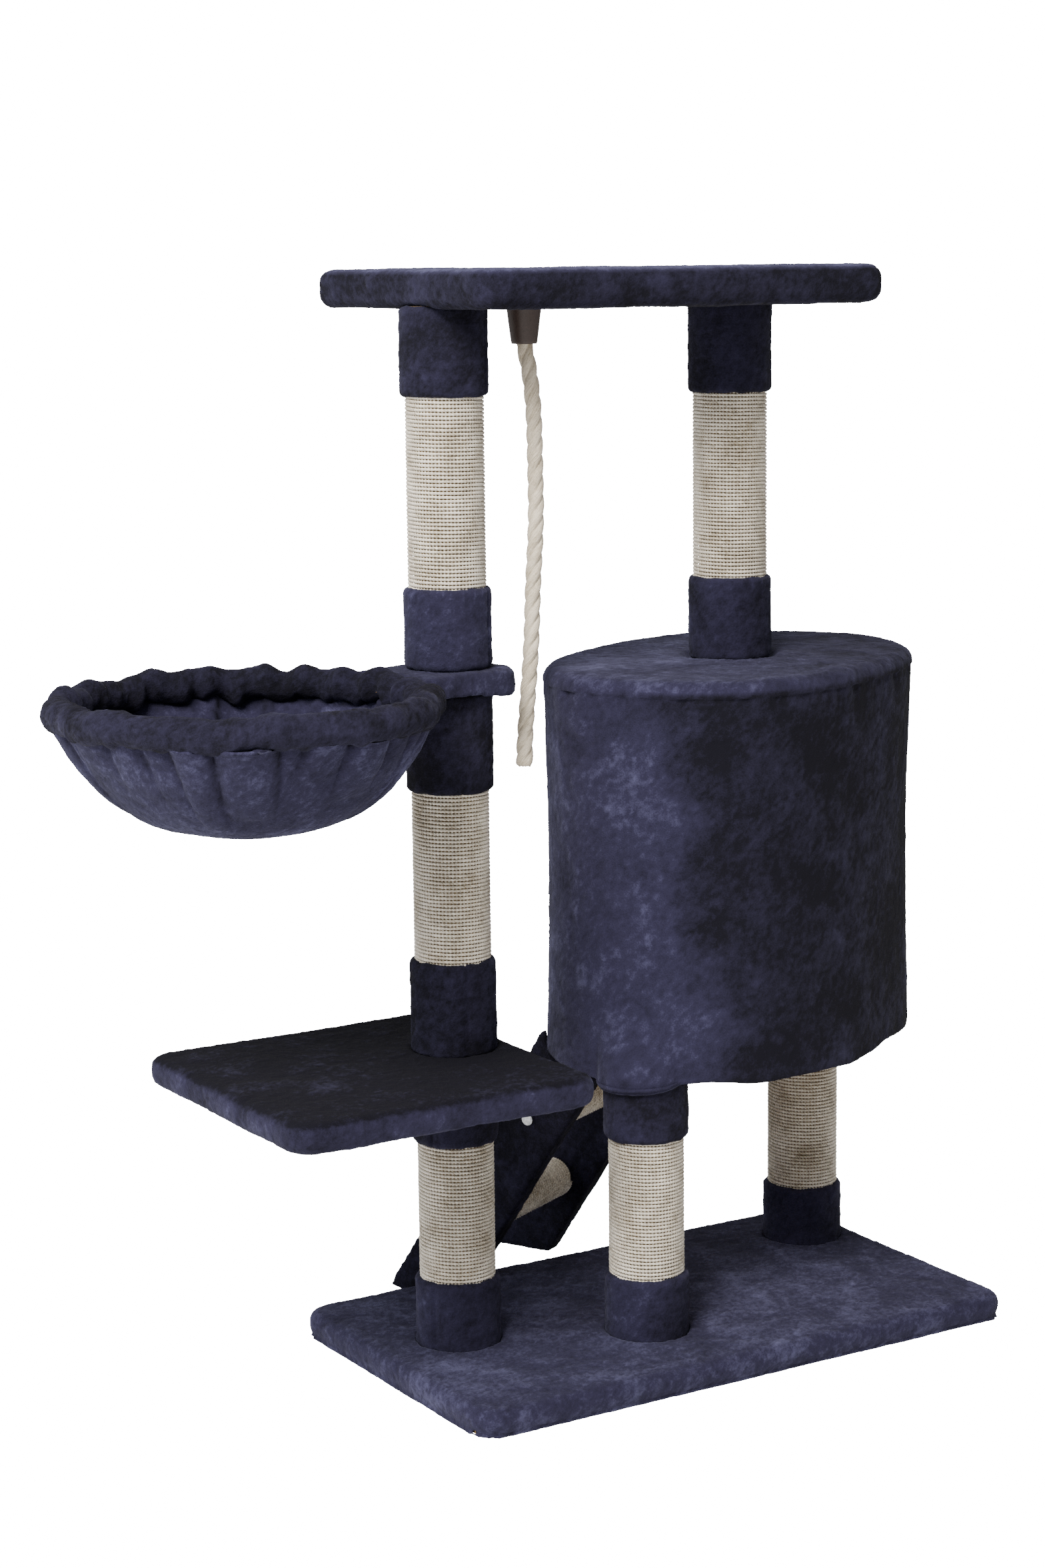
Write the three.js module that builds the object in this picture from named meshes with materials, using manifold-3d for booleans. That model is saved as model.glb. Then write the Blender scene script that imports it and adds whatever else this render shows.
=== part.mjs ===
// Cat tree: a plush-covered base, six sisal posts, a low shelf, a hanging basket,
// a padded house with a ladder behind it, and a top platform with a rope toy.
// Millimetres, +Z up. The origin is the middle of the base's underside, +X along its long side.
import * as THREE from 'three';
import { mergeVertices } from 'three/addons/utils/BufferGeometryUtils.js';
import Module from 'manifold-3d';

// ---------------------------------------------------------------- driving dimensions

const GAP = 0.3; // clearance between pieces that touch
const THROUGH = 1; // how far a cutter passes the face it opens
const BOARD = 15; // thickness of every chipboard panel
const PLUSH = 5; // thickness of the plush cover on a board
const PRESSED = 2; // thickness of the plush where a post presses on it
const CORNER = 27; // plan corner radius of the covered boards

const BASE = { x: 0, y: 0, length: 600, depth: 350 };
const SHELF = { x: -313.7, y: -1.4, length: 310, depth: 310 };
const TOP = { x: -30.5, y: 41.5, length: 440, depth: 320 };
const TOP_PAD = 14; // plush and wadding on the top platform

const LOWER_POST = 266; // the three posts that stand on the base
const MIDDLE_POST = 338; // from the shelf to the basket's tongue
const PERCH_POST = 325.5; // from the basket's tongue to the top platform

const POST_SIDES = 24;
const BOLT_SIDES = 16;
const TUBE = { radius: 30, wall: 4, plug: 20 }; // cardboard tube with a glued wooden plug in each end
const SISAL = 36; // outer radius of the sisal winding
const CUFF = 40; // outer radius of the plush cuffs

// Axes of the posts in plan.
const LEFT = { x: -213.8, y: 15.7 };
const CENTER = { x: -51.7, y: -61.8 };
const RIGHT = { x: 245.7, y: 91.7 };
const REAR = { x: 116, y: 38.4 };

const BOLT = { radius: 4, hole: 4.6, head: 9, headHeight: 5, past: 4 };
const COUNTERBORE = { radius: 10.5, depth: 6 };

// The house: an oval drum with flattened ends, turned on the base.
const HOUSE = {
  x: 112,
  y: 32,
  angle: THREE.MathUtils.degToRad(27.4),
  halfLength: 212,
  halfDepth: 155,
  fullness: 2.4, // exponent of the superellipse outline
  height: 355.5, // underside of the floor panel to the top of the roof panel
  wall: 4,
  plush: 6,
  hem: 13.5, // how far the cover hangs below the floor panel
};
const ENTRANCE = { along: -58, radius: 85, sill: 32 }; // round hole in the back wall
const SOCKET = { wall: 4, drop: 23.5 }; // bulge of the hem round the middle post

// The ladder behind the house, in the house's own axes.
const LADDER = {
  nearFace: -149.5,
  width: 198,
  rail: 22,
  footLength: 86,
  footOut: 73.5, // from the house's back to the foot
  topIn: 111.2, // from the house's back to the inner edge of a rail's top
  rise: 3.8, // rail tops above the underside of the house's floor panel
  footRadius: 13,
  rungRadius: 21.5,
  rungShares: [0.2931, 0.688], // rung heights as shares of the ladder's height
  boltSides: 12,
  boltRadius: 3,
  washer: 6,
  washerHeight: 2.5,
  boltDepth: 30,
};

// The basket, on a tongue clamped between the middle and the perch post.
const TONGUE = { board: 9, plush: 5.2, halfWidth: 50, past: 50, corner: 24 };
const BASKET = {
  below: 2, // wire ring below the middle of the tongue
  ring: 158.5, // radius of the wire ring to the middle of the wire
  wire: 3,
  roll: 14, // radius of the plush roll round the wire
  slotAngle: THREE.MathUtils.degToRad(12),
  bowlRadius: 163,
  bowlDepth: 92,
  bowlWall: 5,
  fullness: 1.85,
  clearOfPost: 21.5, // between the roll and the sisal post's cuff
  bearing: THREE.MathUtils.degToRad(191.3), // from the post to the middle of the basket
};
const RING_SIDES = 32;
const WIRE_SIDES = 6;
const ROLL_SIDES = 24;
const ROLL_STEPS = 11;
const BOWL_STEPS = 7;

// The rope toy under the top platform.
const ROPE = { x: TOP.x - 94.5, y: TOP.y - 19.5, radius: 7.5, steps: 26 };
const CUP = { top: 16, mouth: 11.8, height: 33, wall: 2, pivot: 3 };
const KNOT = 9;
// Sideways sway of the rope's middle line at each drop below its pivot; the sway lies along ROPE_SWAY.
const ROPE_SWAY = new THREE.Vector2(0.852, -0.523);
const ROPE_POINTS = [
  [0, 0.6], [0.5, 6.9], [2.4, 16.9], [5, 32.9], [7.2, 54.9], [8.4, 79.9], [8.7, 104.9], [9, 129.9],
  [9.1, 154.9], [8, 184.9], [6.3, 212.9], [5, 238.9], [4.1, 264.9], [2.2, 296.9], [-0.4, 328.9],
  [-2.9, 359.9], [-3.8, 378.9], [-4.2, 392.9],
];

// ---------------------------------------------------------------- levels that follow from them

const FOOT = BOARD + GAP + PRESSED + GAP; // where a post stands on a covered board, from its underside
const lowerTop = FOOT + LOWER_POST;
const shelfBoard = lowerTop + GAP + PRESSED + GAP;
const middleFoot = shelfBoard + FOOT;
const middleTop = middleFoot + MIDDLE_POST;
const tongueThickness = TONGUE.board + 2 * GAP + 2 * TONGUE.plush;
const tongueBottom = middleTop + GAP;
const perchFoot = tongueBottom + tongueThickness + GAP;
const perchTop = perchFoot + PERCH_POST;
const topBoard = perchTop + GAP + PRESSED + GAP;
const houseFloor = lowerTop + GAP + PRESSED + GAP;
const houseRoof = houseFloor + HOUSE.height - BOARD;
const rearFoot = houseRoof + FOOT;
const ladderTop = houseFloor + LADDER.rise;
const ladderFoot = HOUSE.halfDepth + LADDER.footOut;
const ladderSlope = ladderTop / (LADDER.footOut + LADDER.topIn); // rise over run
const rungHeights = LADDER.rungShares.map((share) => share * ladderTop);

// ---------------------------------------------------------------- finishes

const finish = (color, roughness, metalness = 0) =>
  new THREE.MeshStandardMaterial({ color, roughness, metalness });
const PLUSH_NAVY = finish('#47475a', 0.95);
const SISAL_CREAM = finish('#cfc4ac', 0.9);
const CHIPBOARD = finish('#b8986a', 0.85);
const CARDBOARD = finish('#a98c66', 0.9);
const STEEL = finish('#b9bcc0', 0.35, 1);
const CUP_PLASTIC = finish('#7b6a5c', 0.5);

// ---------------------------------------------------------------- solids

const wasm = await Module();
wasm.setup();

const tree = new THREE.Group();
const house = new THREE.Group();
house.position.set(HOUSE.x, HOUSE.y, 0);
house.rotation.z = HOUSE.angle;
tree.add(house);

// A geometry as a manifold-3d solid.
function solid(geometry) {
  const bare = geometry.clone();
  bare.deleteAttribute('normal');
  bare.deleteAttribute('uv');
  const merged = mergeVertices(bare, 1e-4);
  const triVerts = new Uint32Array(merged.index.array);
  const vertProperties = merged.attributes.position.array;
  return new wasm.Manifold(new wasm.Mesh({ numProp: 3, vertProperties, triVerts }));
}

// A manifold-3d solid as a flat-shaded geometry.
function geometryOf(body) {
  const { vertProperties, triVerts } = body.getMesh();
  const geometry = new THREE.BufferGeometry();
  geometry.setAttribute('position', new THREE.BufferAttribute(vertProperties, 3));
  geometry.setIndex(new THREE.BufferAttribute(triVerts, 1));
  const flat = geometry.toNonIndexed();
  flat.computeVertexNormals();
  return flat;
}

// Adds a named piece, from a geometry or a manifold-3d solid, to a group.
function piece(name, shape, material, group = tree) {
  const geometry = shape.isBufferGeometry ? shape : geometryOf(shape);
  const mesh = new THREE.Mesh(geometry, material);
  mesh.name = name;
  group.add(mesh);
  return mesh;
}

// A flat outline raised from z0 to z1.
function raised(shape, z0, z1, curveSegments = 6) {
  const depth = z1 - z0;
  const geometry = new THREE.ExtrudeGeometry(shape, { depth, bevelEnabled: false, curveSegments });
  return geometry.translate(0, 0, z0);
}

// A profile of [radius, height] points turned about the vertical axis through x, y.
function turned(profile, sides, x = 0, y = 0) {
  const points = profile.map(([radius, height]) => new THREE.Vector2(radius, height));
  return new THREE.LatheGeometry(points, sides).rotateX(Math.PI / 2).translate(x, y, 0);
}

// A closed ring section: inner and outer radius, bottom and top.
function sleeve(inner, outer, z0, z1, x, y) {
  const profile = [[inner, z0], [outer, z0], [outer, z1], [inner, z1], [inner, z0]];
  return turned(profile, POST_SIDES, x, y);
}

// A solid upright cylinder.
function rod(radius, z0, z1, x = 0, y = 0, sides = POST_SIDES) {
  return turned([[0, z0], [radius, z0], [radius, z1], [0, z1]], sides, x, y);
}

function roundedRectangle(length, depth, radius) {
  const shape = new THREE.Shape();
  const x = length / 2;
  const y = depth / 2;
  shape.moveTo(-x + radius, -y);
  shape.lineTo(x - radius, -y);
  shape.absarc(x - radius, -y + radius, radius, -Math.PI / 2, 0);
  shape.lineTo(x, y - radius);
  shape.absarc(x - radius, y - radius, radius, 0, Math.PI / 2);
  shape.lineTo(-x + radius, y);
  shape.absarc(-x + radius, y - radius, radius, Math.PI / 2, Math.PI);
  shape.lineTo(-x, -y + radius);
  shape.absarc(-x + radius, -y + radius, radius, Math.PI, 1.5 * Math.PI);
  return shape;
}

// The house's outline, drawn in by an inset.
function houseOutline(inset, sides = 40) {
  const power = 2 / HOUSE.fullness;
  const bent = (value) => Math.sign(value) * Math.abs(value) ** power;
  const points = [];
  for (let i = 0; i < sides; i += 1) {
    const t = (2 * Math.PI * i) / sides;
    const x = (HOUSE.halfLength - inset) * bent(Math.cos(t));
    const y = (HOUSE.halfDepth - inset) * bent(Math.sin(t));
    points.push(new THREE.Vector2(x, y));
  }
  return new THREE.Shape(points);
}

// A point of the plan in the house's own axes.
function inHouse({ x, y }) {
  const point = new THREE.Vector2(x - HOUSE.x, y - HOUSE.y);
  return point.rotateAround(new THREE.Vector2(), -HOUSE.angle);
}

const boltHole = (x, y, z0, z1) => solid(rod(BOLT.hole, z0, z1, x, y, BOLT_SIDES));

// ---------------------------------------------------------------- covered boards

// A board at a height, drilled for its bolts; counterbores sink bolt heads in one face.
function drilledBoard(plan, z0, bolts, counterbores = []) {
  const inset = 2 * (PLUSH + GAP);
  const outline = roundedRectangle(plan.length - inset, plan.depth - inset, CORNER - PLUSH);
  let board = solid(raised(outline, z0, z0 + BOARD).translate(plan.x, plan.y, 0));
  for (const { x, y } of bolts) {
    board = board.subtract(boltHole(x, y, z0 - THROUGH, z0 + BOARD + THROUGH));
  }
  for (const { x, y, bottom } of counterbores) {
    const top = bottom + COUNTERBORE.depth + THROUGH;
    board = board.subtract(solid(rod(COUNTERBORE.radius, bottom, top, x, y, BOLT_SIDES)));
  }
  return board;
}

// The plush cover of a board from z0: a skin all round it, pressed in where posts meet it.
// below and above are how far the skin reaches under and over the board.
function boardCover(plan, z0, below, above, bolts, presses) {
  const outline = roundedRectangle(plan.length, plan.depth, CORNER);
  const cavityPlan = roundedRectangle(plan.length - 2 * PLUSH, plan.depth - 2 * PLUSH, CORNER - PLUSH);
  const bottom = below > 0 ? z0 - GAP - below : z0;
  const cavityBottom = below > 0 ? z0 - GAP : z0 - THROUGH;
  const top = z0 + BOARD + GAP + above;
  const cavity = solid(raised(cavityPlan, cavityBottom, z0 + BOARD + GAP).translate(plan.x, plan.y, 0));
  let cover = solid(raised(outline, bottom, top).translate(plan.x, plan.y, 0)).subtract(cavity);
  for (const { x, y } of bolts) {
    cover = cover.subtract(boltHole(x, y, bottom - THROUGH, top + THROUGH));
  }
  for (const { x, y, from, to } of presses) {
    cover = cover.subtract(solid(rod(CUFF + GAP, from, to, x, y)));
  }
  return cover;
}

const basePosts = [LEFT, CENTER, RIGHT];
const baseCounterbores = basePosts.map((post) => ({ ...post, bottom: -THROUGH }));
piece('base_board', drilledBoard(BASE, 0, basePosts, baseCounterbores), CHIPBOARD);
const basePresses = basePosts.map((post) => ({ ...post, from: FOOT - GAP, to: FOOT + PLUSH }));
piece('base_cover', boardCover(BASE, 0, 0, PLUSH, basePosts, basePresses), PLUSH_NAVY);

piece('shelf_board', drilledBoard(SHELF, shelfBoard, [LEFT]), CHIPBOARD);
const shelfPresses = [
  { ...LEFT, from: lowerTop - PLUSH, to: lowerTop + GAP },
  { ...LEFT, from: middleFoot - GAP, to: middleFoot + PLUSH },
];
const shelfCover = boardCover(SHELF, shelfBoard, PLUSH, PLUSH, [LEFT], shelfPresses);
piece('shelf_cover', shelfCover, PLUSH_NAVY);

const topPosts = [LEFT, REAR];
const topSinkBottom = topBoard + BOARD - COUNTERBORE.depth;
const topCounterbores = topPosts.map((post) => ({ ...post, bottom: topSinkBottom }));
piece('top_board', drilledBoard(TOP, topBoard, topPosts, topCounterbores), CHIPBOARD);
const topPresses = topPosts.map((post) => ({ ...post, from: perchTop - PLUSH, to: perchTop + GAP }));
let topCover = boardCover(TOP, topBoard, PLUSH, TOP_PAD, [], topPresses);
for (const { x, y } of topPosts) {
  topCover = topCover.subtract(boltHole(x, y, perchTop, topBoard));
}
piece('top_cover', topCover, PLUSH_NAVY);

// ---------------------------------------------------------------- posts

// A post from z0 to z1: a plugged tube, its sisal winding and a plush cuff at each end.
function post(name, { x, y }, z0, z1, lowerCuff, upperCuff) {
  const inner = TUBE.radius - TUBE.wall;
  const tube = [
    [BOLT.hole, z0],
    [TUBE.radius, z0],
    [TUBE.radius, z1],
    [BOLT.hole, z1],
    [BOLT.hole, z1 - TUBE.plug],
    [inner, z1 - TUBE.plug],
    [inner, z0 + TUBE.plug],
    [BOLT.hole, z0 + TUBE.plug],
    [BOLT.hole, z0],
  ];
  const around = TUBE.radius + GAP;
  const lowEdge = z0 + lowerCuff;
  const highEdge = z1 - upperCuff;
  piece(`${name}_tube`, turned(tube, POST_SIDES, x, y), CARDBOARD);
  piece(`${name}_sisal`, sleeve(around, SISAL, lowEdge + GAP, highEdge - GAP, x, y), SISAL_CREAM);
  piece(`${name}_cuff_lower`, sleeve(around, CUFF, z0, lowEdge, x, y), PLUSH_NAVY);
  piece(`${name}_cuff_upper`, sleeve(around, CUFF, highEdge, z1, x, y), PLUSH_NAVY);
}

post('left_low_post', LEFT, FOOT, lowerTop, 70, 65.5);
post('left_mid_post', LEFT, middleFoot, middleTop, 88.5, 92.5);
post('left_high_post', LEFT, perchFoot, perchTop, 74, 80.5);
post('center_post', CENTER, FOOT, lowerTop, 65, 69);
post('right_post', RIGHT, FOOT, lowerTop, 65, 69);
post('rear_post', REAR, rearFoot, perchTop, 80.5, 87.5);

// ---------------------------------------------------------------- bolts and studs

// A bolt whose head lies at z, with its shank running to end, up or down.
function bolt(name, { x, y }, z, end) {
  const up = Math.sign(end - z);
  const under = z + up * BOLT.headHeight;
  const profile = [
    [0, z],
    [BOLT.head, z],
    [BOLT.head, under],
    [BOLT.radius, under],
    [BOLT.radius, end],
    [0, end],
  ];
  if (up < 0) profile.reverse();
  piece(name, turned(profile, BOLT_SIDES, x, y), STEEL);
}

const reach = TUBE.plug + BOLT.past; // how far a bolt runs into a post
const headSunk = COUNTERBORE.depth - GAP - BOLT.headHeight;
bolt('base_bolt_left', LEFT, headSunk, FOOT + reach);
bolt('base_bolt_center', CENTER, headSunk, FOOT + reach);
bolt('base_bolt_right', RIGHT, headSunk, FOOT + reach);
const topHead = topBoard + BOARD - headSunk;
bolt('top_bolt_left', LEFT, topHead, perchTop - reach);
bolt('top_bolt_rear', REAR, topHead, perchTop - reach);
const floorHead = houseFloor + BOARD + GAP + BOLT.headHeight;
bolt('house_bolt_center', CENTER, floorHead, lowerTop - reach);
bolt('house_bolt_right', RIGHT, floorHead, lowerTop - reach);
bolt('house_bolt_roof', REAR, houseRoof - GAP - BOLT.headHeight, rearFoot + reach);

const studSolid = (z0, z1) => rod(BOLT.radius, z0, z1, LEFT.x, LEFT.y, BOLT_SIDES);
piece('shelf_stud', studSolid(lowerTop - reach, middleFoot + reach), STEEL);
piece('basket_stud', studSolid(middleTop - reach, perchFoot + reach), STEEL);

// ---------------------------------------------------------------- house

const center = inHouse(CENTER);
const right = inHouse(RIGHT);
const rear = inHouse(REAR);
const wallInset = HOUSE.plush + GAP;
const panelInset = wallInset + HOUSE.wall + GAP;
const roofTop = houseRoof + BOARD;

let floorPanel = solid(raised(houseOutline(panelInset), houseFloor, houseFloor + BOARD));
for (const { x, y } of [center, right]) {
  const hole = boltHole(x, y, houseFloor - THROUGH, houseFloor + BOARD + THROUGH);
  floorPanel = floorPanel.subtract(hole);
}
piece('house_floor', floorPanel, CHIPBOARD, house);

const roofPanel = solid(raised(houseOutline(panelInset), houseRoof, roofTop));
const roofHole = boltHole(rear.x, rear.y, houseRoof - THROUGH, roofTop + THROUGH);
piece('house_roof', roofPanel.subtract(roofHole), CHIPBOARD, house);

// The doorway runs along the house's depth, through the back wall.
const entranceHeight = houseFloor + BOARD + ENTRANCE.sill + ENTRANCE.radius;
function doorway(radius) {
  const through = new THREE.CylinderGeometry(radius, radius, HOUSE.halfDepth, RING_SIDES);
  return solid(through.translate(ENTRANCE.along, HOUSE.halfDepth, entranceHeight));
}

const wallOutside = solid(raised(houseOutline(wallInset), houseFloor, roofTop));
const wallHollow = houseOutline(wallInset + HOUSE.wall);
const wallInside = solid(raised(wallHollow, houseFloor - THROUGH, roofTop + THROUGH));
const wallRing = wallOutside.subtract(wallInside);
piece('house_wall', wallRing.subtract(doorway(ENTRANCE.radius + GAP)), CARDBOARD, house);

// The cover: a roof, walls with the doorway, a floor skin and a hem with a socket round the middle post.
const hemBottom = houseFloor - HOUSE.hem;
const skinTop = houseFloor - GAP;
const skinBottom = skinTop - PRESSED;
const coverTop = roofTop + GAP + HOUSE.plush;
const socketTop = skinTop + HOUSE.plush;
const socketBottom = houseFloor - SOCKET.drop;
const socket = solid(rod(CUFF + GAP + SOCKET.wall, socketBottom, socketTop, center.x, center.y));
const postRoom = solid(rod(CUFF + GAP, socketBottom - THROUGH, skinBottom, center.x, center.y));
const hemRoom = solid(raised(houseOutline(HOUSE.plush), hemBottom - THROUGH, skinBottom));
const houseRoom = solid(raised(houseOutline(HOUSE.plush), skinTop, roofTop + GAP));
const coverOutside = solid(raised(houseOutline(0), hemBottom, coverTop));
const postPress = solid(rod(CUFF + GAP, rearFoot - GAP, rearFoot + HOUSE.plush, rear.x, rear.y));
const coverCuts = [
  postRoom,
  hemRoom,
  houseRoom,
  postPress,
  doorway(ENTRANCE.radius),
  boltHole(center.x, center.y, skinBottom - THROUGH, skinTop + THROUGH),
  boltHole(right.x, right.y, skinBottom - THROUGH, skinTop + THROUGH),
  boltHole(rear.x, rear.y, roofTop, rearFoot),
];
const cover = coverCuts.reduce((body, cut) => body.subtract(cut), coverOutside.add(socket));
piece('house_cover', cover, PLUSH_NAVY, house);

// ---------------------------------------------------------------- ladder

// A side rail: a leaning board standing on the floor, cut back where it meets the house.
const railLean = ladderTop / ladderSlope;
const footEnd = ladderFoot + LADDER.footLength;
function railOutline() {
  const shape = new THREE.Shape();
  const r = LADDER.footRadius;
  const lean = Math.hypot(1, ladderSlope);
  shape.moveTo(ladderFoot, 0);
  shape.lineTo(footEnd - r, 0);
  shape.quadraticCurveTo(footEnd, 0, footEnd - r / lean, (r * ladderSlope) / lean);
  shape.lineTo(footEnd - railLean, ladderTop);
  shape.lineTo(ladderFoot - railLean, ladderTop);
  return shape;
}
const houseClear = solid(raised(houseOutline(-GAP), hemBottom - GAP, coverTop));
// The near rail is notched where its foot meets the back edge of the base.
const baseTop = BOARD + GAP + PLUSH;
const baseOutline = roundedRectangle(BASE.length + 2 * GAP, BASE.depth + 2 * GAP, CORNER);
const baseRoom = raised(baseOutline, -THROUGH, baseTop + GAP);
baseRoom.translate(BASE.x - HOUSE.x, BASE.y - HOUSE.y, 0);
baseRoom.rotateZ(-HOUSE.angle);
const baseClear = solid(baseRoom);
const railMiddle = (height) => ladderFoot + LADDER.footLength / 2 - height / ladderSlope;
// Turns something made along +Z so that it runs along the house's length from a start.
const alongHouse = (geometry, start, y, z) => geometry.rotateY(Math.PI / 2).translate(start, y, z);

function rail(name, start) {
  const upright = raised(railOutline(), 0, LADDER.rail);
  upright.rotateX(Math.PI / 2);
  upright.rotateZ(Math.PI / 2);
  upright.translate(start, 0, 0);
  let body = solid(upright).subtract(houseClear).subtract(baseClear);
  const bore = LADDER.boltRadius + GAP;
  for (const height of rungHeights) {
    const hole = rod(bore, -THROUGH, LADDER.rail + THROUGH, 0, 0, LADDER.boltSides);
    body = body.subtract(solid(alongHouse(hole, start, railMiddle(height), height)));
  }
  piece(name, body, PLUSH_NAVY, house);
}
const farRail = LADDER.nearFace + LADDER.width - LADDER.rail;
rail('ladder_rail_left', LADDER.nearFace);
rail('ladder_rail_right', farRail);

// A bolt through a rail into the end of a rung; side is -1 at the near rail and 1 at the far one.
function ladderBolt(name, outerFace, side, height) {
  const { boltRadius, washer, washerHeight, boltDepth } = LADDER;
  const out = GAP + washerHeight;
  const profile = [
    [0, -out],
    [washer, -out],
    [washer, -GAP],
    [boltRadius, -GAP],
    [boltRadius, LADDER.rail + boltDepth],
    [0, LADDER.rail + boltDepth],
  ];
  const geometry = turned(profile, LADDER.boltSides);
  if (side > 0) geometry.rotateX(Math.PI);
  piece(name, alongHouse(geometry, outerFace, railMiddle(height), height), STEEL, house);
}

const rungNames = ['lower', 'upper'];
const rungStart = LADDER.nearFace + LADDER.rail + GAP;
const rungLength = farRail - GAP - rungStart;
rungNames.forEach((name, i) => {
  const height = rungHeights[i];
  const bore = LADDER.boltRadius + GAP;
  const deep = LADDER.boltDepth + THROUGH;
  const profile = [
    [0, deep],
    [bore, deep],
    [bore, 0],
    [LADDER.rungRadius, 0],
    [LADDER.rungRadius, rungLength],
    [bore, rungLength],
    [bore, rungLength - deep],
    [0, rungLength - deep],
  ];
  const rung = alongHouse(turned(profile, POST_SIDES), rungStart, railMiddle(height), height);
  piece(`ladder_rung_${name}`, rung, SISAL_CREAM, house);
  ladderBolt(`ladder_bolt_${name}_left`, LADDER.nearFace, -1, height);
  ladderBolt(`ladder_bolt_${name}_right`, farRail + LADDER.rail, 1, height);
});

// ---------------------------------------------------------------- basket

const ringRadius = BASKET.ring + BASKET.roll;
const basketReach = CUFF + BASKET.clearOfPost + ringRadius;
const basketX = LEFT.x + basketReach * Math.cos(BASKET.bearing);
const basketY = LEFT.y + basketReach * Math.sin(BASKET.bearing);
const ringLevel = tongueBottom + tongueThickness / 2 - BASKET.below;

// A ring of round section about the middle of the basket.
function hoop(section, sides) {
  const profile = [];
  for (let i = 0; i <= sides; i += 1) {
    const t = (2 * Math.PI * i) / sides;
    profile.push([BASKET.ring + section * Math.cos(t), ringLevel + section * Math.sin(t)]);
  }
  return turned(profile, RING_SIDES, basketX, basketY);
}

// The tongue's outline runs from inside the ring past the post, its far corners rounded.
function tongue(inset, z0, z1) {
  const { halfWidth, past, corner } = TONGUE;
  const start = BASKET.ring - BASKET.wire - TONGUE.plush;
  const end = basketReach + past - inset;
  const length = end - start;
  const outline = roundedRectangle(length, 2 * (halfWidth - inset), corner - inset);
  const plate = raised(outline, z0, z1).translate(start + length / 2, 0, 0);
  return solid(plate.rotateZ(BASKET.bearing - Math.PI).translate(basketX, basketY, 0));
}

const boardBottom = tongueBottom + TONGUE.plush + GAP;
const boardTop = boardBottom + TONGUE.board;
const tongueTop = tongueBottom + tongueThickness;
const tongueHole = boltHole(LEFT.x, LEFT.y, tongueBottom - THROUGH, tongueTop + THROUGH);
const tongueBoard = tongue(TONGUE.plush + GAP, boardBottom, boardTop);
const wireRoom = solid(hoop(BASKET.wire + 2 * GAP, WIRE_SIDES));
piece('basket_tongue', tongueBoard.subtract(wireRoom).subtract(tongueHole), CHIPBOARD);
piece('basket_ring', hoop(BASKET.wire, WIRE_SIDES), STEEL);

const tongueSkin = tongue(0, tongueBottom, tongueTop);
const boardRoom = tongue(TONGUE.plush, boardBottom - GAP, boardTop + GAP);
const rollRoom = solid(rod(ringRadius + 2 * GAP, 0, perchTop, basketX, basketY, RING_SIDES));
const tongueCover = tongueSkin.subtract(boardRoom).subtract(rollRoom).subtract(tongueHole);
piece('basket_tongue_cover', tongueCover, PLUSH_NAVY);

// The rim: a plush roll with a slot underneath, where the fabric closes round the wire.
function rollProfile() {
  const bore = BASKET.wire + 3 * GAP;
  const from = -Math.PI / 2 + BASKET.slotAngle;
  const sweep = 2 * (Math.PI - BASKET.slotAngle);
  const arc = (radius, steps, start, turn) =>
    Array.from({ length: steps + 1 }, (_, i) => {
      const t = start + (turn * i) / steps;
      return [BASKET.ring + radius * Math.cos(t), ringLevel + radius * Math.sin(t)];
    });
  const outer = arc(BASKET.roll, ROLL_STEPS, from, sweep);
  const inner = arc(bore, WIRE_SIDES, from + sweep, -sweep);
  return [...outer, ...inner, outer[0]];
}
const roll = solid(turned(rollProfile(), RING_SIDES, basketX, basketY));
piece('basket_rim', roll.subtract(boardRoom), PLUSH_NAVY);

// The bowl: a sagging shell hung from the rim.
const bowlTop = ringLevel - BASKET.roll - BASKET.below;
function bowlProfile() {
  const curve = (radius, depth, steps) =>
    Array.from({ length: steps + 1 }, (_, i) => {
      const t = (Math.PI / 2) * (i / steps);
      const power = 2 / BASKET.fullness;
      return [radius * Math.sin(t) ** power, bowlTop - depth * Math.cos(t) ** power];
    });
  const outer = curve(BASKET.bowlRadius, BASKET.bowlDepth, BOWL_STEPS);
  const inside = BASKET.bowlRadius - BASKET.bowlWall;
  const inner = curve(inside, BASKET.bowlDepth - BASKET.bowlWall, BOWL_STEPS);
  const lip = bowlTop + BASKET.roll / 2;
  outer[BOWL_STEPS] = [BASKET.bowlRadius, bowlTop];
  inner[BOWL_STEPS] = [inside, bowlTop];
  outer[0][0] = 0;
  inner[0][0] = 0;
  return [...outer, [BASKET.bowlRadius, lip], [inside, lip], ...inner.reverse()];
}
const bowl = solid(turned(bowlProfile(), RING_SIDES, basketX, basketY));
piece('basket_bowl', bowl.subtract(solid(hoop(BASKET.roll + 2 * GAP, ROLL_SIDES))), PLUSH_NAVY);

// ---------------------------------------------------------------- rope toy

const cupTop = topBoard - GAP - PLUSH - GAP;
const cupMouth = cupTop - CUP.height;
const pivot = cupMouth + CUP.pivot;

// A quarter circle of [radius, height] points above the pivot, from the side to the top.
function dome(radius, steps) {
  return Array.from({ length: steps + 1 }, (_, i) => {
    const t = (Math.PI / 2) * (i / steps);
    return [i === steps ? 0 : radius * Math.cos(t), pivot + radius * Math.sin(t)];
  });
}
const cavity = CUP.mouth - CUP.wall;
const cupProfile = [
  ...dome(cavity, 6).reverse(),
  [cavity, cupMouth],
  [CUP.mouth, cupMouth],
  [CUP.top, cupTop],
  [0, cupTop],
];
piece('rope_cup', turned(cupProfile, POST_SIDES, ROPE.x, ROPE.y), CUP_PLASTIC);

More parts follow.
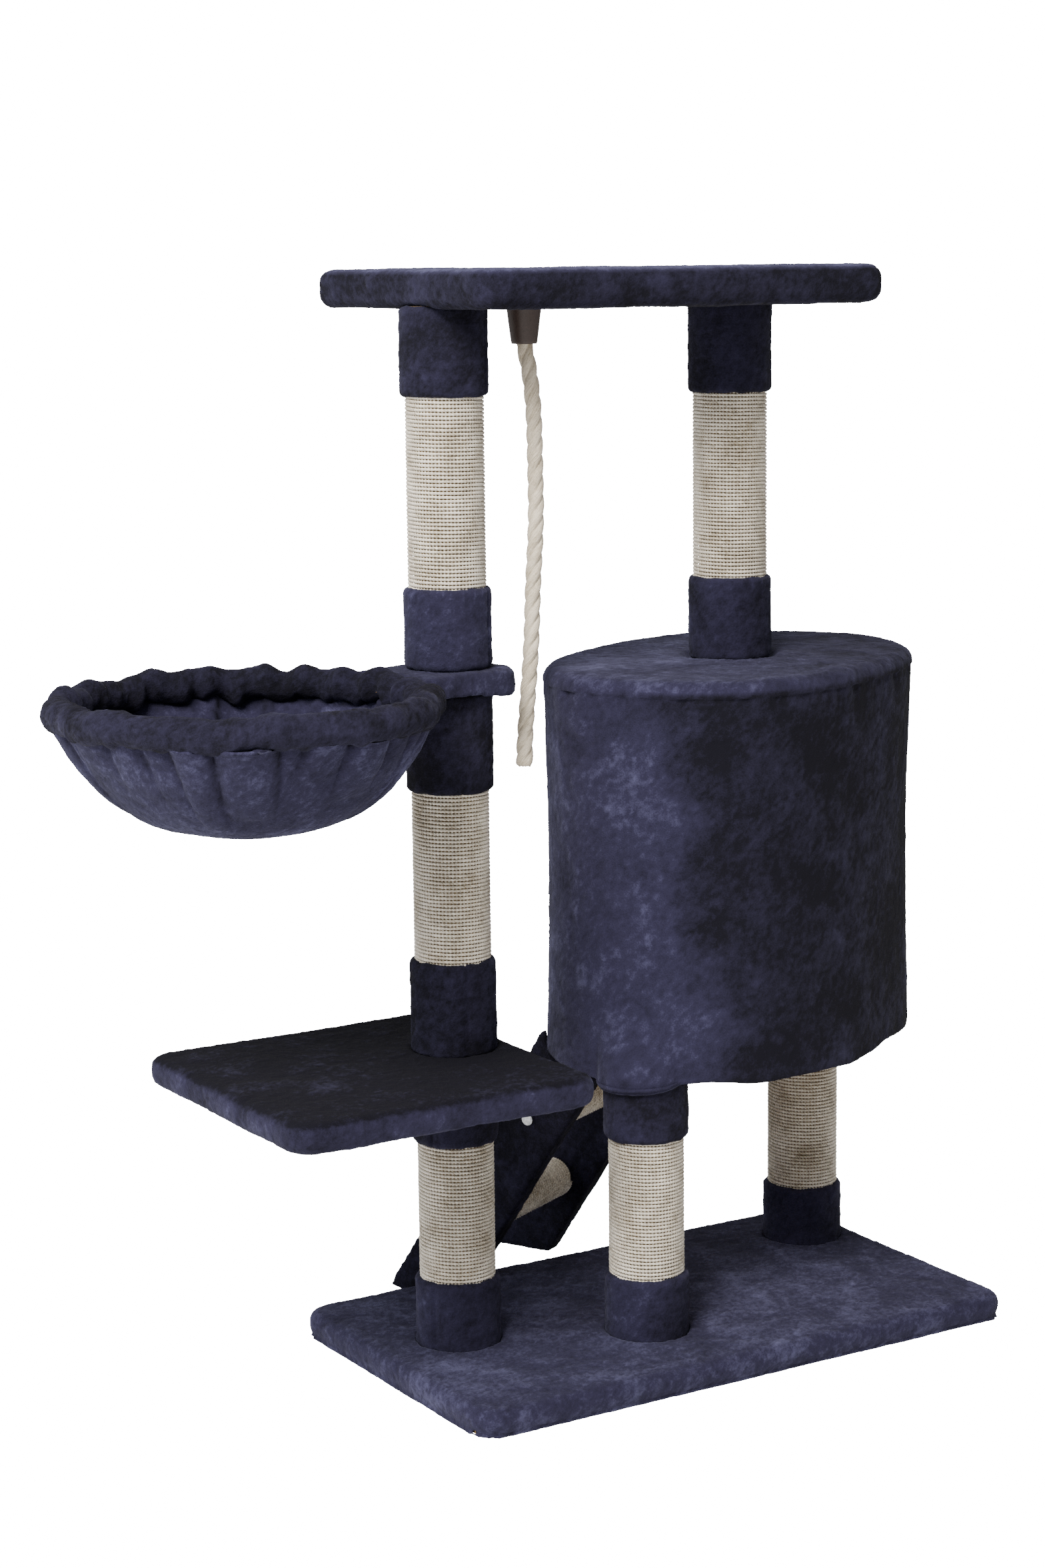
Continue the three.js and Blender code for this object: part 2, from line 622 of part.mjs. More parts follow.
const knotProfile = [[0, pivot + GAP / 2], [KNOT, pivot + GAP / 2], ...dome(KNOT, 5).slice(1)];
piece('rope_knot', turned(knotProfile, POST_SIDES, ROPE.x, ROPE.y), SISAL_CREAM);

const ropeLine = ROPE_POINTS.map(([sway, drop]) => {
  const point = ROPE_SWAY.clone().multiplyScalar(sway);
  return new THREE.Vector3(ROPE.x + point.x, ROPE.y + point.y, pivot - drop);
});
const extrudePath = new THREE.CatmullRomCurve3(ropeLine);
const ropeCircle = new THREE.Path().absarc(0, 0, ROPE.radius, 0, 2 * Math.PI);
const ropeSection = new THREE.Shape(ropeCircle.getPoints(5));
const rope = new THREE.ExtrudeGeometry(ropeSection, { steps: ROPE.steps, curveSegments: 1, extrudePath });
piece('rope', rope, SISAL_CREAM);

export default tree;
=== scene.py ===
"""Cat tree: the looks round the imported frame. Plush, wound sisal, twisted rope and a gathered basket."""
import logging
import math
from dataclasses import dataclass, field
from enum import Enum
from typing import Any, Sequence

import bmesh
import bpy
import numpy as np
from mathutils import Matrix, Vector


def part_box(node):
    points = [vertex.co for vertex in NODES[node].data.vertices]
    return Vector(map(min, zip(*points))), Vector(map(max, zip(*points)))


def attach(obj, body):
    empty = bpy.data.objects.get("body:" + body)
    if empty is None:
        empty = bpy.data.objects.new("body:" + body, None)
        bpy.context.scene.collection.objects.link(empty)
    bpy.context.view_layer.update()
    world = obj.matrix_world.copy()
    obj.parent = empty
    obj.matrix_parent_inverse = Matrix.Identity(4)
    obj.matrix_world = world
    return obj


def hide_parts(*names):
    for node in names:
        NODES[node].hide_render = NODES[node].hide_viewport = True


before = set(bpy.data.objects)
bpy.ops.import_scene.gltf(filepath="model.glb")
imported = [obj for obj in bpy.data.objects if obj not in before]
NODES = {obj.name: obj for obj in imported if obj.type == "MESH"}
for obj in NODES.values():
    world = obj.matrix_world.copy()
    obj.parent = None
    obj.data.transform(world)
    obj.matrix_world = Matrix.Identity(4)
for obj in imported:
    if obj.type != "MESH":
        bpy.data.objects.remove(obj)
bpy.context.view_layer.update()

MM = 0.001
TAU = 2 * math.pi
logging.basicConfig(level=logging.INFO, format="%(message)s")
log = logging.getLogger("cat_tree")

Points = np.ndarray
Faces = list[tuple[int, ...]]


# ---------------------------------------------------------------- small tools


def linear(code: str) -> tuple[float, float, float, float]:
    """Turns an sRGB hex colour into linear values.

    Args:
        code: Six hex digits after a #.

    Returns:
        Red, green, blue and an alpha of 1, linear.
    """
    parts = [int(code[i:i + 2], 16) / 255 for i in (1, 3, 5)]
    return (*(c / 12.92 if c <= 0.04045 else ((c + 0.055) / 1.055) ** 2.4 for c in parts), 1.0)


def add(tree: bpy.types.NodeTree, kind: str, inputs: dict[str | int, Any] | None = None,
        **settings: Any) -> bpy.types.Node:
    """Adds a node to a tree.

    Args:
        tree: The node tree.
        kind: The node's type name.
        inputs: Input name or index to a socket to link from, or a value.
        settings: Properties of the node.

    Returns:
        The node.
    """
    node = tree.nodes.new(kind)
    for name, value in settings.items():
        setattr(node, name, value)
    for key, value in (inputs or {}).items():
        if isinstance(value, bpy.types.NodeSocket):
            tree.links.new(value, node.inputs[key])
        else:
            node.inputs[key].default_value = value
    return node


def new_object(name: str, points: Points, faces: Faces) -> bpy.types.Object:
    """Makes a mesh object at the origin.

    Args:
        name: The piece's name.
        points: Vertex places, in metres.
        faces: Vertex indices of each face.

    Returns:
        The object, linked to the scene.
    """
    mesh = bpy.data.meshes.new(name)
    mesh.from_pydata([tuple(p) for p in points], [], [tuple(f) for f in faces])
    mesh.update()
    piece = bpy.data.objects.new(name, mesh)
    bpy.context.scene.collection.objects.link(piece)
    return piece


def lattice(rows: int, columns: int, closed_rows: bool = False, closed_columns: bool = True) -> Faces:
    """Quads of a grid of rows by columns of vertices.

    Args:
        rows: Number of rows of vertices.
        columns: Number of vertices in each row.
        closed_rows: Whether the last row joins the first.
        closed_columns: Whether each row is a closed loop.

    Returns:
        The quads, with vertices numbered row by row.
    """
    faces = []
    for i in range(rows if closed_rows else rows - 1):
        for j in range(columns if closed_columns else columns - 1):
            k, up = (j + 1) % columns, (i + 1) % rows
            faces.append((i * columns + j, i * columns + k, up * columns + k, up * columns + j))
    return faces


def loft(name: str, loops: Sequence[Points], capped: bool = True) -> bpy.types.Object:
    """Joins closed loops of equal length, from the bottom up, and caps both ends.

    Args:
        name: The piece's name.
        loops: Closed loops, each turning anticlockwise seen from above.
        capped: Whether the ends are closed by a face each.

    Returns:
        The object.
    """
    rows, columns = len(loops), len(loops[0])
    faces: Faces = lattice(rows, columns)
    if capped:
        faces.append(tuple(reversed(range(columns))))
        faces.append(tuple(range((rows - 1) * columns, rows * columns)))
    return new_object(name, np.concatenate(loops), faces)


def applied(piece: bpy.types.Object) -> bpy.types.Object:
    """Turns a piece's modifiers into its plain mesh.

    Args:
        piece: An object with modifiers.

    Returns:
        The same object, with the result as its mesh and no modifiers.
    """
    graph = bpy.context.evaluated_depsgraph_get()
    graph.update()
    made = bpy.data.meshes.new_from_object(piece.evaluated_get(graph))
    old = piece.data
    piece.modifiers.clear()
    piece.data = made
    made.name = piece.name
    bpy.data.meshes.remove(old)
    return piece


def cut(piece: bpy.types.Object, cutters: Sequence[bpy.types.Object]) -> bpy.types.Object:
    """Cuts closed shapes out of a closed piece and removes them.

    Args:
        piece: The piece to cut.
        cutters: The closed shapes to take away.

    Returns:
        The piece.
    """
    for cutter in cutters:
        step = piece.modifiers.new("cut", "BOOLEAN")
        step.operation, step.solver, step.object = "DIFFERENCE", "EXACT", cutter
    applied(piece)
    for cutter in cutters:
        bpy.data.objects.remove(cutter)
    return piece


def even(piece: bpy.types.Object, size: float, smooth: int = 3) -> bpy.types.Object:
    """Rebuilds a closed piece as even quads with softened edges.

    Args:
        piece: A closed piece.
        size: Width of a quad, in metres.
        smooth: Rounds of smoothing.

    Returns:
        The piece.
    """
    remesh = piece.modifiers.new("even", "REMESH")
    remesh.mode, remesh.voxel_size = "VOXEL", size
    soften = piece.modifiers.new("soften", "SMOOTH")
    soften.factor, soften.iterations = 0.5, smooth
    return applied(piece)


def shell_inside(piece: bpy.types.Object, loops: Sequence[Points]) -> None:
    """Gives a closed piece a closed room inside it, so that it is a skin and not a solid.

    Args:
        piece: The closed outer piece.
        loops: Loops of the room, from the bottom up.
    """
    room = loft("room", loops)
    bm = bmesh.new()
    bm.from_mesh(room.data)
    bmesh.ops.reverse_faces(bm, faces=bm.faces[:])
    bm.to_mesh(room.data)
    bm.free()
    both = bmesh.new()
    both.from_mesh(piece.data)
    both.from_mesh(room.data)
    both.to_mesh(piece.data)
    both.free()
    bpy.data.objects.remove(room)


def circle(radius: float, count: int, x: float = 0.0, y: float = 0.0, z: float = 0.0) -> Points:
    """A level circle of points, anticlockwise seen from above."""
    t = np.arange(count) * TAU / count
    return np.stack([x + radius * np.cos(t), y + radius * np.sin(t), np.full(count, z)], 1)


def cylinder(radius: float, z0: float, z1: float, x: float, y: float, count: int = 48) -> bpy.types.Object:
    """An upright closed cylinder to cut with."""
    return loft("cutter", [circle(radius, count, x, y, z0), circle(radius, count, x, y, z1)])


def rounded_rectangle(low: Vector, high: Vector, radius: float, inset: float, z: float) -> Points:
    """A level rectangle with round corners.

    Args:
        low: Lowest corner of the plan.
        high: Highest corner of the plan.
        radius: Corner radius before the inset.
        inset: How far the outline is drawn in.
        z: Height.

    Returns:
        The loop, anticlockwise seen from above.
    """
    r = max(radius - inset, MM)
    steps = np.linspace(0, math.pi / 2, 9)
    loop = []
    for quarter, (cx, cy) in enumerate([(high.x, high.y), (low.x, high.y), (low.x, low.y), (high.x, low.y)]):
        sx, sy = (1 if quarter in (0, 3) else -1), (1 if quarter < 2 else -1)
        x, y = cx - sx * (inset + r), cy - sy * (inset + r)
        angles = steps + quarter * math.pi / 2
        loop.append(np.stack([x + r * np.cos(angles), y + r * np.sin(angles), np.full(9, z)], 1))
    return np.concatenate(loop)


def edge_round(z0: float, z1: float, radius: float, steps: int = 4) -> list[tuple[float, float]]:
    """(inset, height) pairs of a side with a rounded foot and head.

    Args:
        z0: Bottom.
        z1: Top.
        radius: Radius of both edges.
        steps: Steps of each quarter circle.

    Returns:
        The pairs, from the bottom up.
    """
    t = np.linspace(0, math.pi / 2, steps + 1)
    foot = [(radius * (1 - math.sin(a)), z0 + radius * (1 - math.cos(a))) for a in t]
    head = [(radius * (1 - math.cos(a)), z1 - radius * (1 - math.sin(a))) for a in t]
    return foot + head


def turned(name: str, profile: Sequence[tuple[float, float]], count: int, x: float = 0.0,
           y: float = 0.0) -> bpy.types.Object:
    """A closed profile of (radius, height) turned about an upright axis.

    Args:
        name: The piece's name.
        profile: A closed loop of points, anticlockwise with the radius to the right.
        count: Steps of the turn.
        x: The axis's place.
        y: The axis's place.

    Returns:
        The object.
    """
    loops = [circle(r, count, x, y, z) for r, z in profile]
    return new_object(name, np.concatenate(loops), lattice(len(loops), count, closed_rows=True))


def waves(angle: Points, seed: int, counts: Sequence[int]) -> Points:
    """A smooth random curve round a circle, between about -1 and 1.

    Args:
        angle: Angles, in radians.
        seed: Seed of the phases.
        counts: How many waves each part of the sum has.

    Returns:
        The curve's value at each angle.
    """
    dice = np.random.default_rng(seed)
    parts = [np.cos(n * angle + dice.uniform(0, TAU)) * dice.uniform(0.6, 1.0) for n in counts]
    return sum(parts) / math.sqrt(len(counts))


# ---------------------------------------------------------------- finishes


@dataclass(frozen=True)
class PlushFinish:
    """Short plush: a knitted polyester pile, cut and crushed. The pile leans this way and that, so soft
    patches turn to or from the light. Its colour is painted paler on raised tufts (painted highlight) and
    darker in its hollows (painted shade), and paler or darker by its lay (painted light and shade)."""

    name: str = "crushed_polyester_plush"
    # The dark end of the ramp is painted shade in the pile's hollows, the pale end painted highlight on its
    # tufts.
    root_shade: str = "#0b0a15"
    body: str = "#26243a"
    tip_highlight: str = "#565675"
    patch: float = 58 * MM
    streak: float = 9 * MM
    mark: float = 30 * MM  # where a touch has brushed the pile up
    fibre: float = 1.5 * MM  # drawn coarser than the real 0.05 mm fibre, as tufts
    sheen: float = 0.34  # where the pile leans to the light; far less where it leans away

    def material(self) -> bpy.types.Material:
        """Builds the material, which reads the pile's painted light and shade from the piece's own attribute.

        Returns:
            The material.
        """
        made, tree, surface = blank(self.name)
        place = add(tree, "ShaderNodeTexCoord").outputs["Object"]
        patch = self.noise(tree, place, self.patch, Detail=3.0, Roughness=0.55, Distortion=0.5)
        streak = self.noise(tree, place, self.streak, Detail=2.0, Distortion=0.2)
        fibre = self.noise(tree, place, self.fibre, Detail=2.0)
        # pile: painted highlight on raised tufts, painted shade in hollows, and painted light and shade from
        # the lay.
        pile = add(tree, "ShaderNodeAttribute", attribute_name="pile").outputs["Fac"]
        mark = self.noise(tree, place, self.mark, Detail=4.0, Roughness=0.65, Distortion=0.3)
        mark = add(tree, "ShaderNodeMapRange", {0: mark, 1: 0.54, 2: 0.72}).outputs[0]
        tone = self.mix(tree, ((patch, 0.34), (streak, 0.12), (fibre, 0.16), (pile, 0.40), (mark, 0.08)))
        ramp = add(tree, "ShaderNodeValToRGB", {"Fac": tone})
        stops = ramp.color_ramp.elements
        stops[0].position, stops[0].color = 0.20, linear(self.root_shade)
        stops[1].position, stops[1].color = 0.72, linear(self.tip_highlight)
        middle = stops.new(0.44)
        middle.color = linear(self.body)
        lean = self.mix(tree, ((patch, 6 * MM), (streak, 0.8 * MM), (fibre, 0.55 * MM)))
        bump = add(tree, "ShaderNodeBump", {"Height": lean, "Strength": 1.0, "Distance": 1.0})
        tree.links.new(ramp.outputs["Color"], surface.inputs["Base Color"])
        tree.links.new(bump.outputs["Normal"], surface.inputs["Normal"])
        surface.inputs["Roughness"].default_value = 0.95
        surface.inputs["Specular IOR Level"].default_value = 0.2
        shine = add(tree, "ShaderNodeMapRange", {0: tone, 1: 0.22, 2: 0.7, 4: self.sheen})
        tree.links.new(shine.outputs[0], surface.inputs["Sheen Weight"])
        surface.inputs["Sheen Roughness"].default_value = 0.5
        surface.inputs["Sheen Tint"].default_value = linear("#9092b4")
        return made

    def noise(self, tree: bpy.types.NodeTree, place: bpy.types.NodeSocket, size: float,
              **values: float) -> bpy.types.NodeSocket:
        """A noise whose features are about a size wide.

        Args:
            tree: The node tree.
            place: Where the noise is read.
            size: Width of a feature, in metres.
            values: The noise node's other inputs.

        Returns:
            The noise's value.
        """
        return add(tree, "ShaderNodeTexNoise", {"Vector": place, "Scale": 1 / size, **values}).outputs["Fac"]

    def mix(self, tree: bpy.types.NodeTree,
            parts: Sequence[tuple[bpy.types.NodeSocket, float]]) -> bpy.types.NodeSocket:
        """The sum of values, each times its weight.

        Args:
            tree: The node tree.
            parts: Each value and its weight.

        Returns:
            The sum.
        """
        total: float | bpy.types.NodeSocket = 0.0
        for value, weight in parts:
            total = add(tree, "ShaderNodeMath", {0: value, 1: weight, 2: total},
                        operation="MULTIPLY_ADD").outputs[0]
        return total


@dataclass(frozen=True)
class SisalFinish:
    """Twisted sisal: dry, slightly shiny leaf fibres spun into yarn. Fibres show as fine pale and brown
    streaks that follow the twist."""

    name: str = "twisted_sisal"
    dark: str = "#9a8c72"
    pale: str = "#faf3e4"
    fibre: float = 0.9 * MM  # drawn as bundles, coarser than the real 0.2 mm fibre
    blotch: float = 24 * MM

    def material(self) -> bpy.types.Material:
        """Builds the material, which reads the yarn's own coordinates from its attribute.

        Returns:
            The material.
        """
        made, tree, surface = blank(self.name)
        place = add(tree, "ShaderNodeTexCoord").outputs["Object"]
        yarn = add(tree, "ShaderNodeAttribute", attribute_name="yarn").outputs["Vector"]
        strand = add(tree, "ShaderNodeTexNoise", {"Vector": yarn, "Scale": 1.0, "Detail": 3.0,
                                                  "Roughness": 0.65})
        fleck = add(tree, "ShaderNodeTexNoise", {"Vector": place, "Scale": 1 / self.fibre, "Detail": 2.0})
        blotch = add(tree, "ShaderNodeTexNoise", {"Vector": place, "Scale": 1 / self.blotch, "Detail": 2.0})
        tone = add(tree, "ShaderNodeMath", {0: strand.outputs["Fac"], 1: 0.62}, operation="MULTIPLY")
        tone = add(tree, "ShaderNodeMath", {0: fleck.outputs["Fac"], 1: 0.34, 2: tone.outputs[0]},
                   operation="MULTIPLY_ADD")
        tone = add(tree, "ShaderNodeMath", {0: blotch.outputs["Fac"], 1: 0.3, 2: tone.outputs[0]},
                   operation="MULTIPLY_ADD")
        ramp = add(tree, "ShaderNodeValToRGB", {"Fac": tone.outputs[0]})
        stops = ramp.color_ramp.elements
        stops[0].position, stops[0].color = 0.48, linear(self.dark)
        stops[1].position, stops[1].color = 0.72, linear(self.pale)
        bump = add(tree, "ShaderNodeBump", {"Height": strand.outputs["Fac"], "Strength": 0.6,
                                            "Distance": 0.4 * MM})
        tree.links.new(ramp.outputs["Color"], surface.inputs["Base Color"])
        tree.links.new(bump.outputs["Normal"], surface.inputs["Normal"])
        surface.inputs["Roughness"].default_value = 0.7
        surface.inputs["Sheen Weight"].default_value = 0.12
        return made


@dataclass(frozen=True)
class GrainFinish:
    """A hard material with a grain: a base colour broken up by noise, with a matching bump."""

    name: str
    dark: str
    pale: str
    grain: float
    stretch: tuple[float, float, float] = (1.0, 1.0, 1.0)
    roughness: float = 0.8
    metallic: float = 0.0
    relief: float = 0.1 * MM

    def material(self) -> bpy.types.Material:
        """Builds the material from noise on the piece's own coordinates.

        Returns:
            The material.
        """
        made, tree, surface = blank(self.name)
        place = add(tree, "ShaderNodeTexCoord").outputs["Object"]
        laid = add(tree, "ShaderNodeMapping", {"Vector": place, "Scale": self.stretch})
        grain = add(tree, "ShaderNodeTexNoise", {"Vector": laid.outputs[0], "Scale": 1 / self.grain,
                                                 "Detail": 4.0, "Roughness": 0.6})
        wear = add(tree, "ShaderNodeTexNoise", {"Vector": place, "Scale": 60.0, "Detail": 2.0})
        ramp = add(tree, "ShaderNodeValToRGB", {"Fac": grain.outputs["Fac"]})
        stops = ramp.color_ramp.elements
        stops[0].position, stops[0].color = 0.35, linear(self.dark)
        stops[1].position, stops[1].color = 0.65, linear(self.pale)
        rough = add(tree, "ShaderNodeMapRange", {0: wear.outputs["Fac"], 3: self.roughness - 0.1,
                                                 4: self.roughness + 0.1})
        bump = add(tree, "ShaderNodeBump", {"Height": grain.outputs["Fac"], "Strength": 0.5,
                                            "Distance": self.relief})
        tree.links.new(ramp.outputs["Color"], surface.inputs["Base Color"])
        tree.links.new(rough.outputs[0], surface.inputs["Roughness"])
        tree.links.new(bump.outputs["Normal"], surface.inputs["Normal"])
        surface.inputs["Metallic"].default_value = self.metallic
        return made


def blank(name: str) -> tuple[bpy.types.Material, bpy.types.NodeTree, bpy.types.Node]:
    """A new node material.

    Args:
        name: The material's name.

    Returns:
        The material, its tree and its Principled node.
    """
    made = bpy.data.materials.new(name)
    made.use_nodes = True
    return made, made.node_tree, made.node_tree.nodes["Principled BSDF"]


PLUSH = PlushFinish().material()
SISAL = SisalFinish().material()
# Hanging rope: the same fibre, cleaner and paler because nothing has worn it.
ROPE = SisalFinish("three_strand_sisal_rope", "#aa9c82", "#e9deca", 0.9 * MM, 40 * MM).material()
# Chipboard: pressed wood flakes under a thin clear size.
CHIPBOARD = GrainFinish("raw_chipboard", "#8f6f45", "#c7a878", 4 * MM, relief=0.3 * MM).material()
# Cardboard tube and wall: kraft paper wound in layers, with faint long fibres.
CARDBOARD = GrainFinish("kraft_cardboard", "#94764f", "#b69a70", 2.5 * MM, (1, 1, 0.2), 0.9).material()
# Zinc-plated steel: bright, slightly yellow, with soft blotches from the plating bath.
ZINC = GrainFinish("zinc_plated_steel", "#8d9094", "#c4c6c8", 3 * MM, roughness=0.35, metallic=1.0,
                   relief=0.02 * MM).material()
# Moulded polypropylene: satin brown with a faint spark-eroded texture.
CUP = GrainFinish("moulded_polypropylene", "#3a2e2a", "#4a3c37", 0.8 * MM, roughness=0.45,
                  relief=0.05 * MM).material()


# ---------------------------------------------------------------- pile and winding, by geometry nodes


def socket(tree: bpy.types.NodeTree, name: str, kind: str, output: bool = False) -> str:
    """Adds a named socket to a node group.

    Args:
        tree: The node group.
        name: The socket's name.
        kind: The socket's type name.
        output: Whether it leaves the group.

    Returns:
        The socket's identifier.
    """
    made = tree.interface.new_socket(name, in_out="OUTPUT" if output else "INPUT", socket_type=kind)
    return made.identifier


class PileTree:
    """Raises a pile on a mesh: soft dents, crushed clumps and tufts, each along the surface's normal, and
    stores its painted light and shade, paler on raised places and set by the lay, as the attribute pile.
    """

    LAYERS = ("Dent", "Clump", "Tuft")
    TUFT_HIGHLIGHT = (0.0, 0.1, 0.35)  # how much each layer's raised places are painted paler, as painted highlight

    def __init__(self) -> None:
        """Builds the node group."""
        tree = bpy.data.node_groups.new("plush_pile", "GeometryNodeTree")
        self.tree = tree
        self.keys = {"Mesh": socket(tree, "Mesh", "NodeSocketGeometry")}
        for layer in self.LAYERS:
            for word in ("size", "height"):
                self.keys[f"{layer} {word}"] = socket(tree, f"{layer} {word}", "NodeSocketFloat")
        self.keys["Seed"] = socket(tree, "Seed", "NodeSocketFloat")
        self.keys["Lay"] = socket(tree, "Lay", "NodeSocketFloat")
        self.keys["Material"] = socket(tree, "Material", "NodeSocketMaterial")
        socket(tree, "Mesh", "NodeSocketGeometry", output=True)
        given = add(tree, "NodeGroupInput").outputs
        place = add(tree, "GeometryNodeInputPosition").outputs[0]
        normal = add(tree, "GeometryNodeInputNormal").outputs[0]
        total = None
        # Painted light and shade: the piece's own lay attribute plus the Lay input.
        own = add(tree, "GeometryNodeInputNamedAttribute", {"Name": "lay"}).outputs[0]
        pile = add(tree, "ShaderNodeMath", {0: own, 1: given["Lay"]}, operation="ADD").outputs[0]
        for step, layer in enumerate(self.LAYERS):
            scale = add(tree, "ShaderNodeMath", {0: 1.0, 1: given[f"{layer} size"]}, operation="DIVIDE")
            value = add(tree, "ShaderNodeTexNoise", {
                "Vector": place, "W": given["Seed"], "Scale": scale.outputs[0], "Detail": 1.0 + step,
                "Distortion": 0.6}, noise_dimensions="4D").outputs[0]
            level = add(tree, "ShaderNodeMath", {0: value, 1: 0.5}, operation="SUBTRACT")
            high = add(tree, "ShaderNodeMath", {0: level.outputs[0], 1: given[f"{layer} height"]},
                       operation="MULTIPLY")
            total = high.outputs[0] if total is None else add(
                tree, "ShaderNodeMath", {0: total, 1: high.outputs[0]}, operation="ADD").outputs[0]
            # Raised places are painted paler (painted highlight), low places darker (painted shade).
            share = add(tree, "ShaderNodeMapRange", {0: value, 1: 0.3, 2: 0.7}).outputs[0]
            pile = add(tree, "ShaderNodeMath", {0: share, 1: self.TUFT_HIGHLIGHT[step], 2: pile},
                       operation="MULTIPLY_ADD").outputs[0]
        push = add(tree, "ShaderNodeVectorMath", {0: normal, "Scale": total}, operation="SCALE")
        kept = add(tree, "GeometryNodeStoreNamedAttribute", {"Geometry": given["Mesh"], "Name": "pile",
                                                             "Value": pile}, domain="POINT")
        moved = add(tree, "GeometryNodeSetPosition", {"Geometry": kept.outputs[0], "Offset": push.outputs[0]})
        shaded = add(tree, "GeometryNodeSetShadeSmooth", {"Geometry": moved.outputs[0], "Shade Smooth": True})
        solid = add(tree, "GeometryNodeRealizeInstances", {"Geometry": shaded.outputs[0]})
        dressed = add(tree, "GeometryNodeSetMaterial", {"Geometry": solid.outputs[0],
                                                        "Material": given["Material"]})
        add(tree, "NodeGroupOutput", {"Mesh": dressed.outputs[0]})


@dataclass(frozen=True)
class Pile:
    """How high the pile stands, how wide its dents, clumps and tufts are, and how it is laid.

    The lay is painted light and shade: above 0 the pile's colour is painted paler, below 0 darker.
    """

    dent: tuple[float, float] = (90 * MM, 3.0 * MM)
    clump: tuple[float, float] = (11 * MM, 2.2 * MM)
    tuft: tuple[float, float] = (4.2 * MM, 1.5 * MM)
    # lay: painted light above 0, painted shade below 0.
    lay: float = 0.0


PILE_TREE = PileTree()
SEEDS = iter(range(1, 200))


def grow_pile(piece: bpy.types.Object, pile: Pile = Pile()) -> bpy.types.Object:
    """Raises the plush on a piece and gives it the plush material.

    Args:
        piece: A finely divided piece.
        pile: The pile's sizes.

    Returns:
        The piece, with the pile in its mesh.
    """
    step = piece.modifiers.new("pile", "NODES")
    step.node_group = PILE_TREE.tree
    sizes = {"Dent": pile.dent, "Clump": pile.clump, "Tuft": pile.tuft}
    for layer, (size, height) in sizes.items():
        step[PILE_TREE.keys[f"{layer} size"]] = size
        step[PILE_TREE.keys[f"{layer} height"]] = height
    step[PILE_TREE.keys["Seed"]] = float(next(SEEDS))
    # The lay: painted light and shade in the pile's colour.
    step[PILE_TREE.keys["Lay"]] = pile.lay
    step[PILE_TREE.keys["Material"]] = PLUSH
    return applied(piece)


def paint_light_and_shade(piece: bpy.types.Object, light_and_shade: Points) -> None:
    """Paints light and shade into the pile at each vertex, as its lay, on top of the piece's own lay."""
    lay = piece.data.attributes.new("lay", "FLOAT", "POINT")
    lay.data.foreach_set("value", np.asarray(light_and_shade, dtype=np.float32))


def settle(piece: bpy.types.Object, body: str, slot: str, *replaced: str) -> bpy.types.Object:
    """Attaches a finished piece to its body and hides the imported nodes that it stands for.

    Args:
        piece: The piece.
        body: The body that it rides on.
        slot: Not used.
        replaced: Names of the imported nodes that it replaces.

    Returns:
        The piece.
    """
    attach(piece, body)
    if replaced:
        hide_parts(*replaced)
    log.info("%s: %d faces", piece.name, len(piece.data.polygons))
    return piece


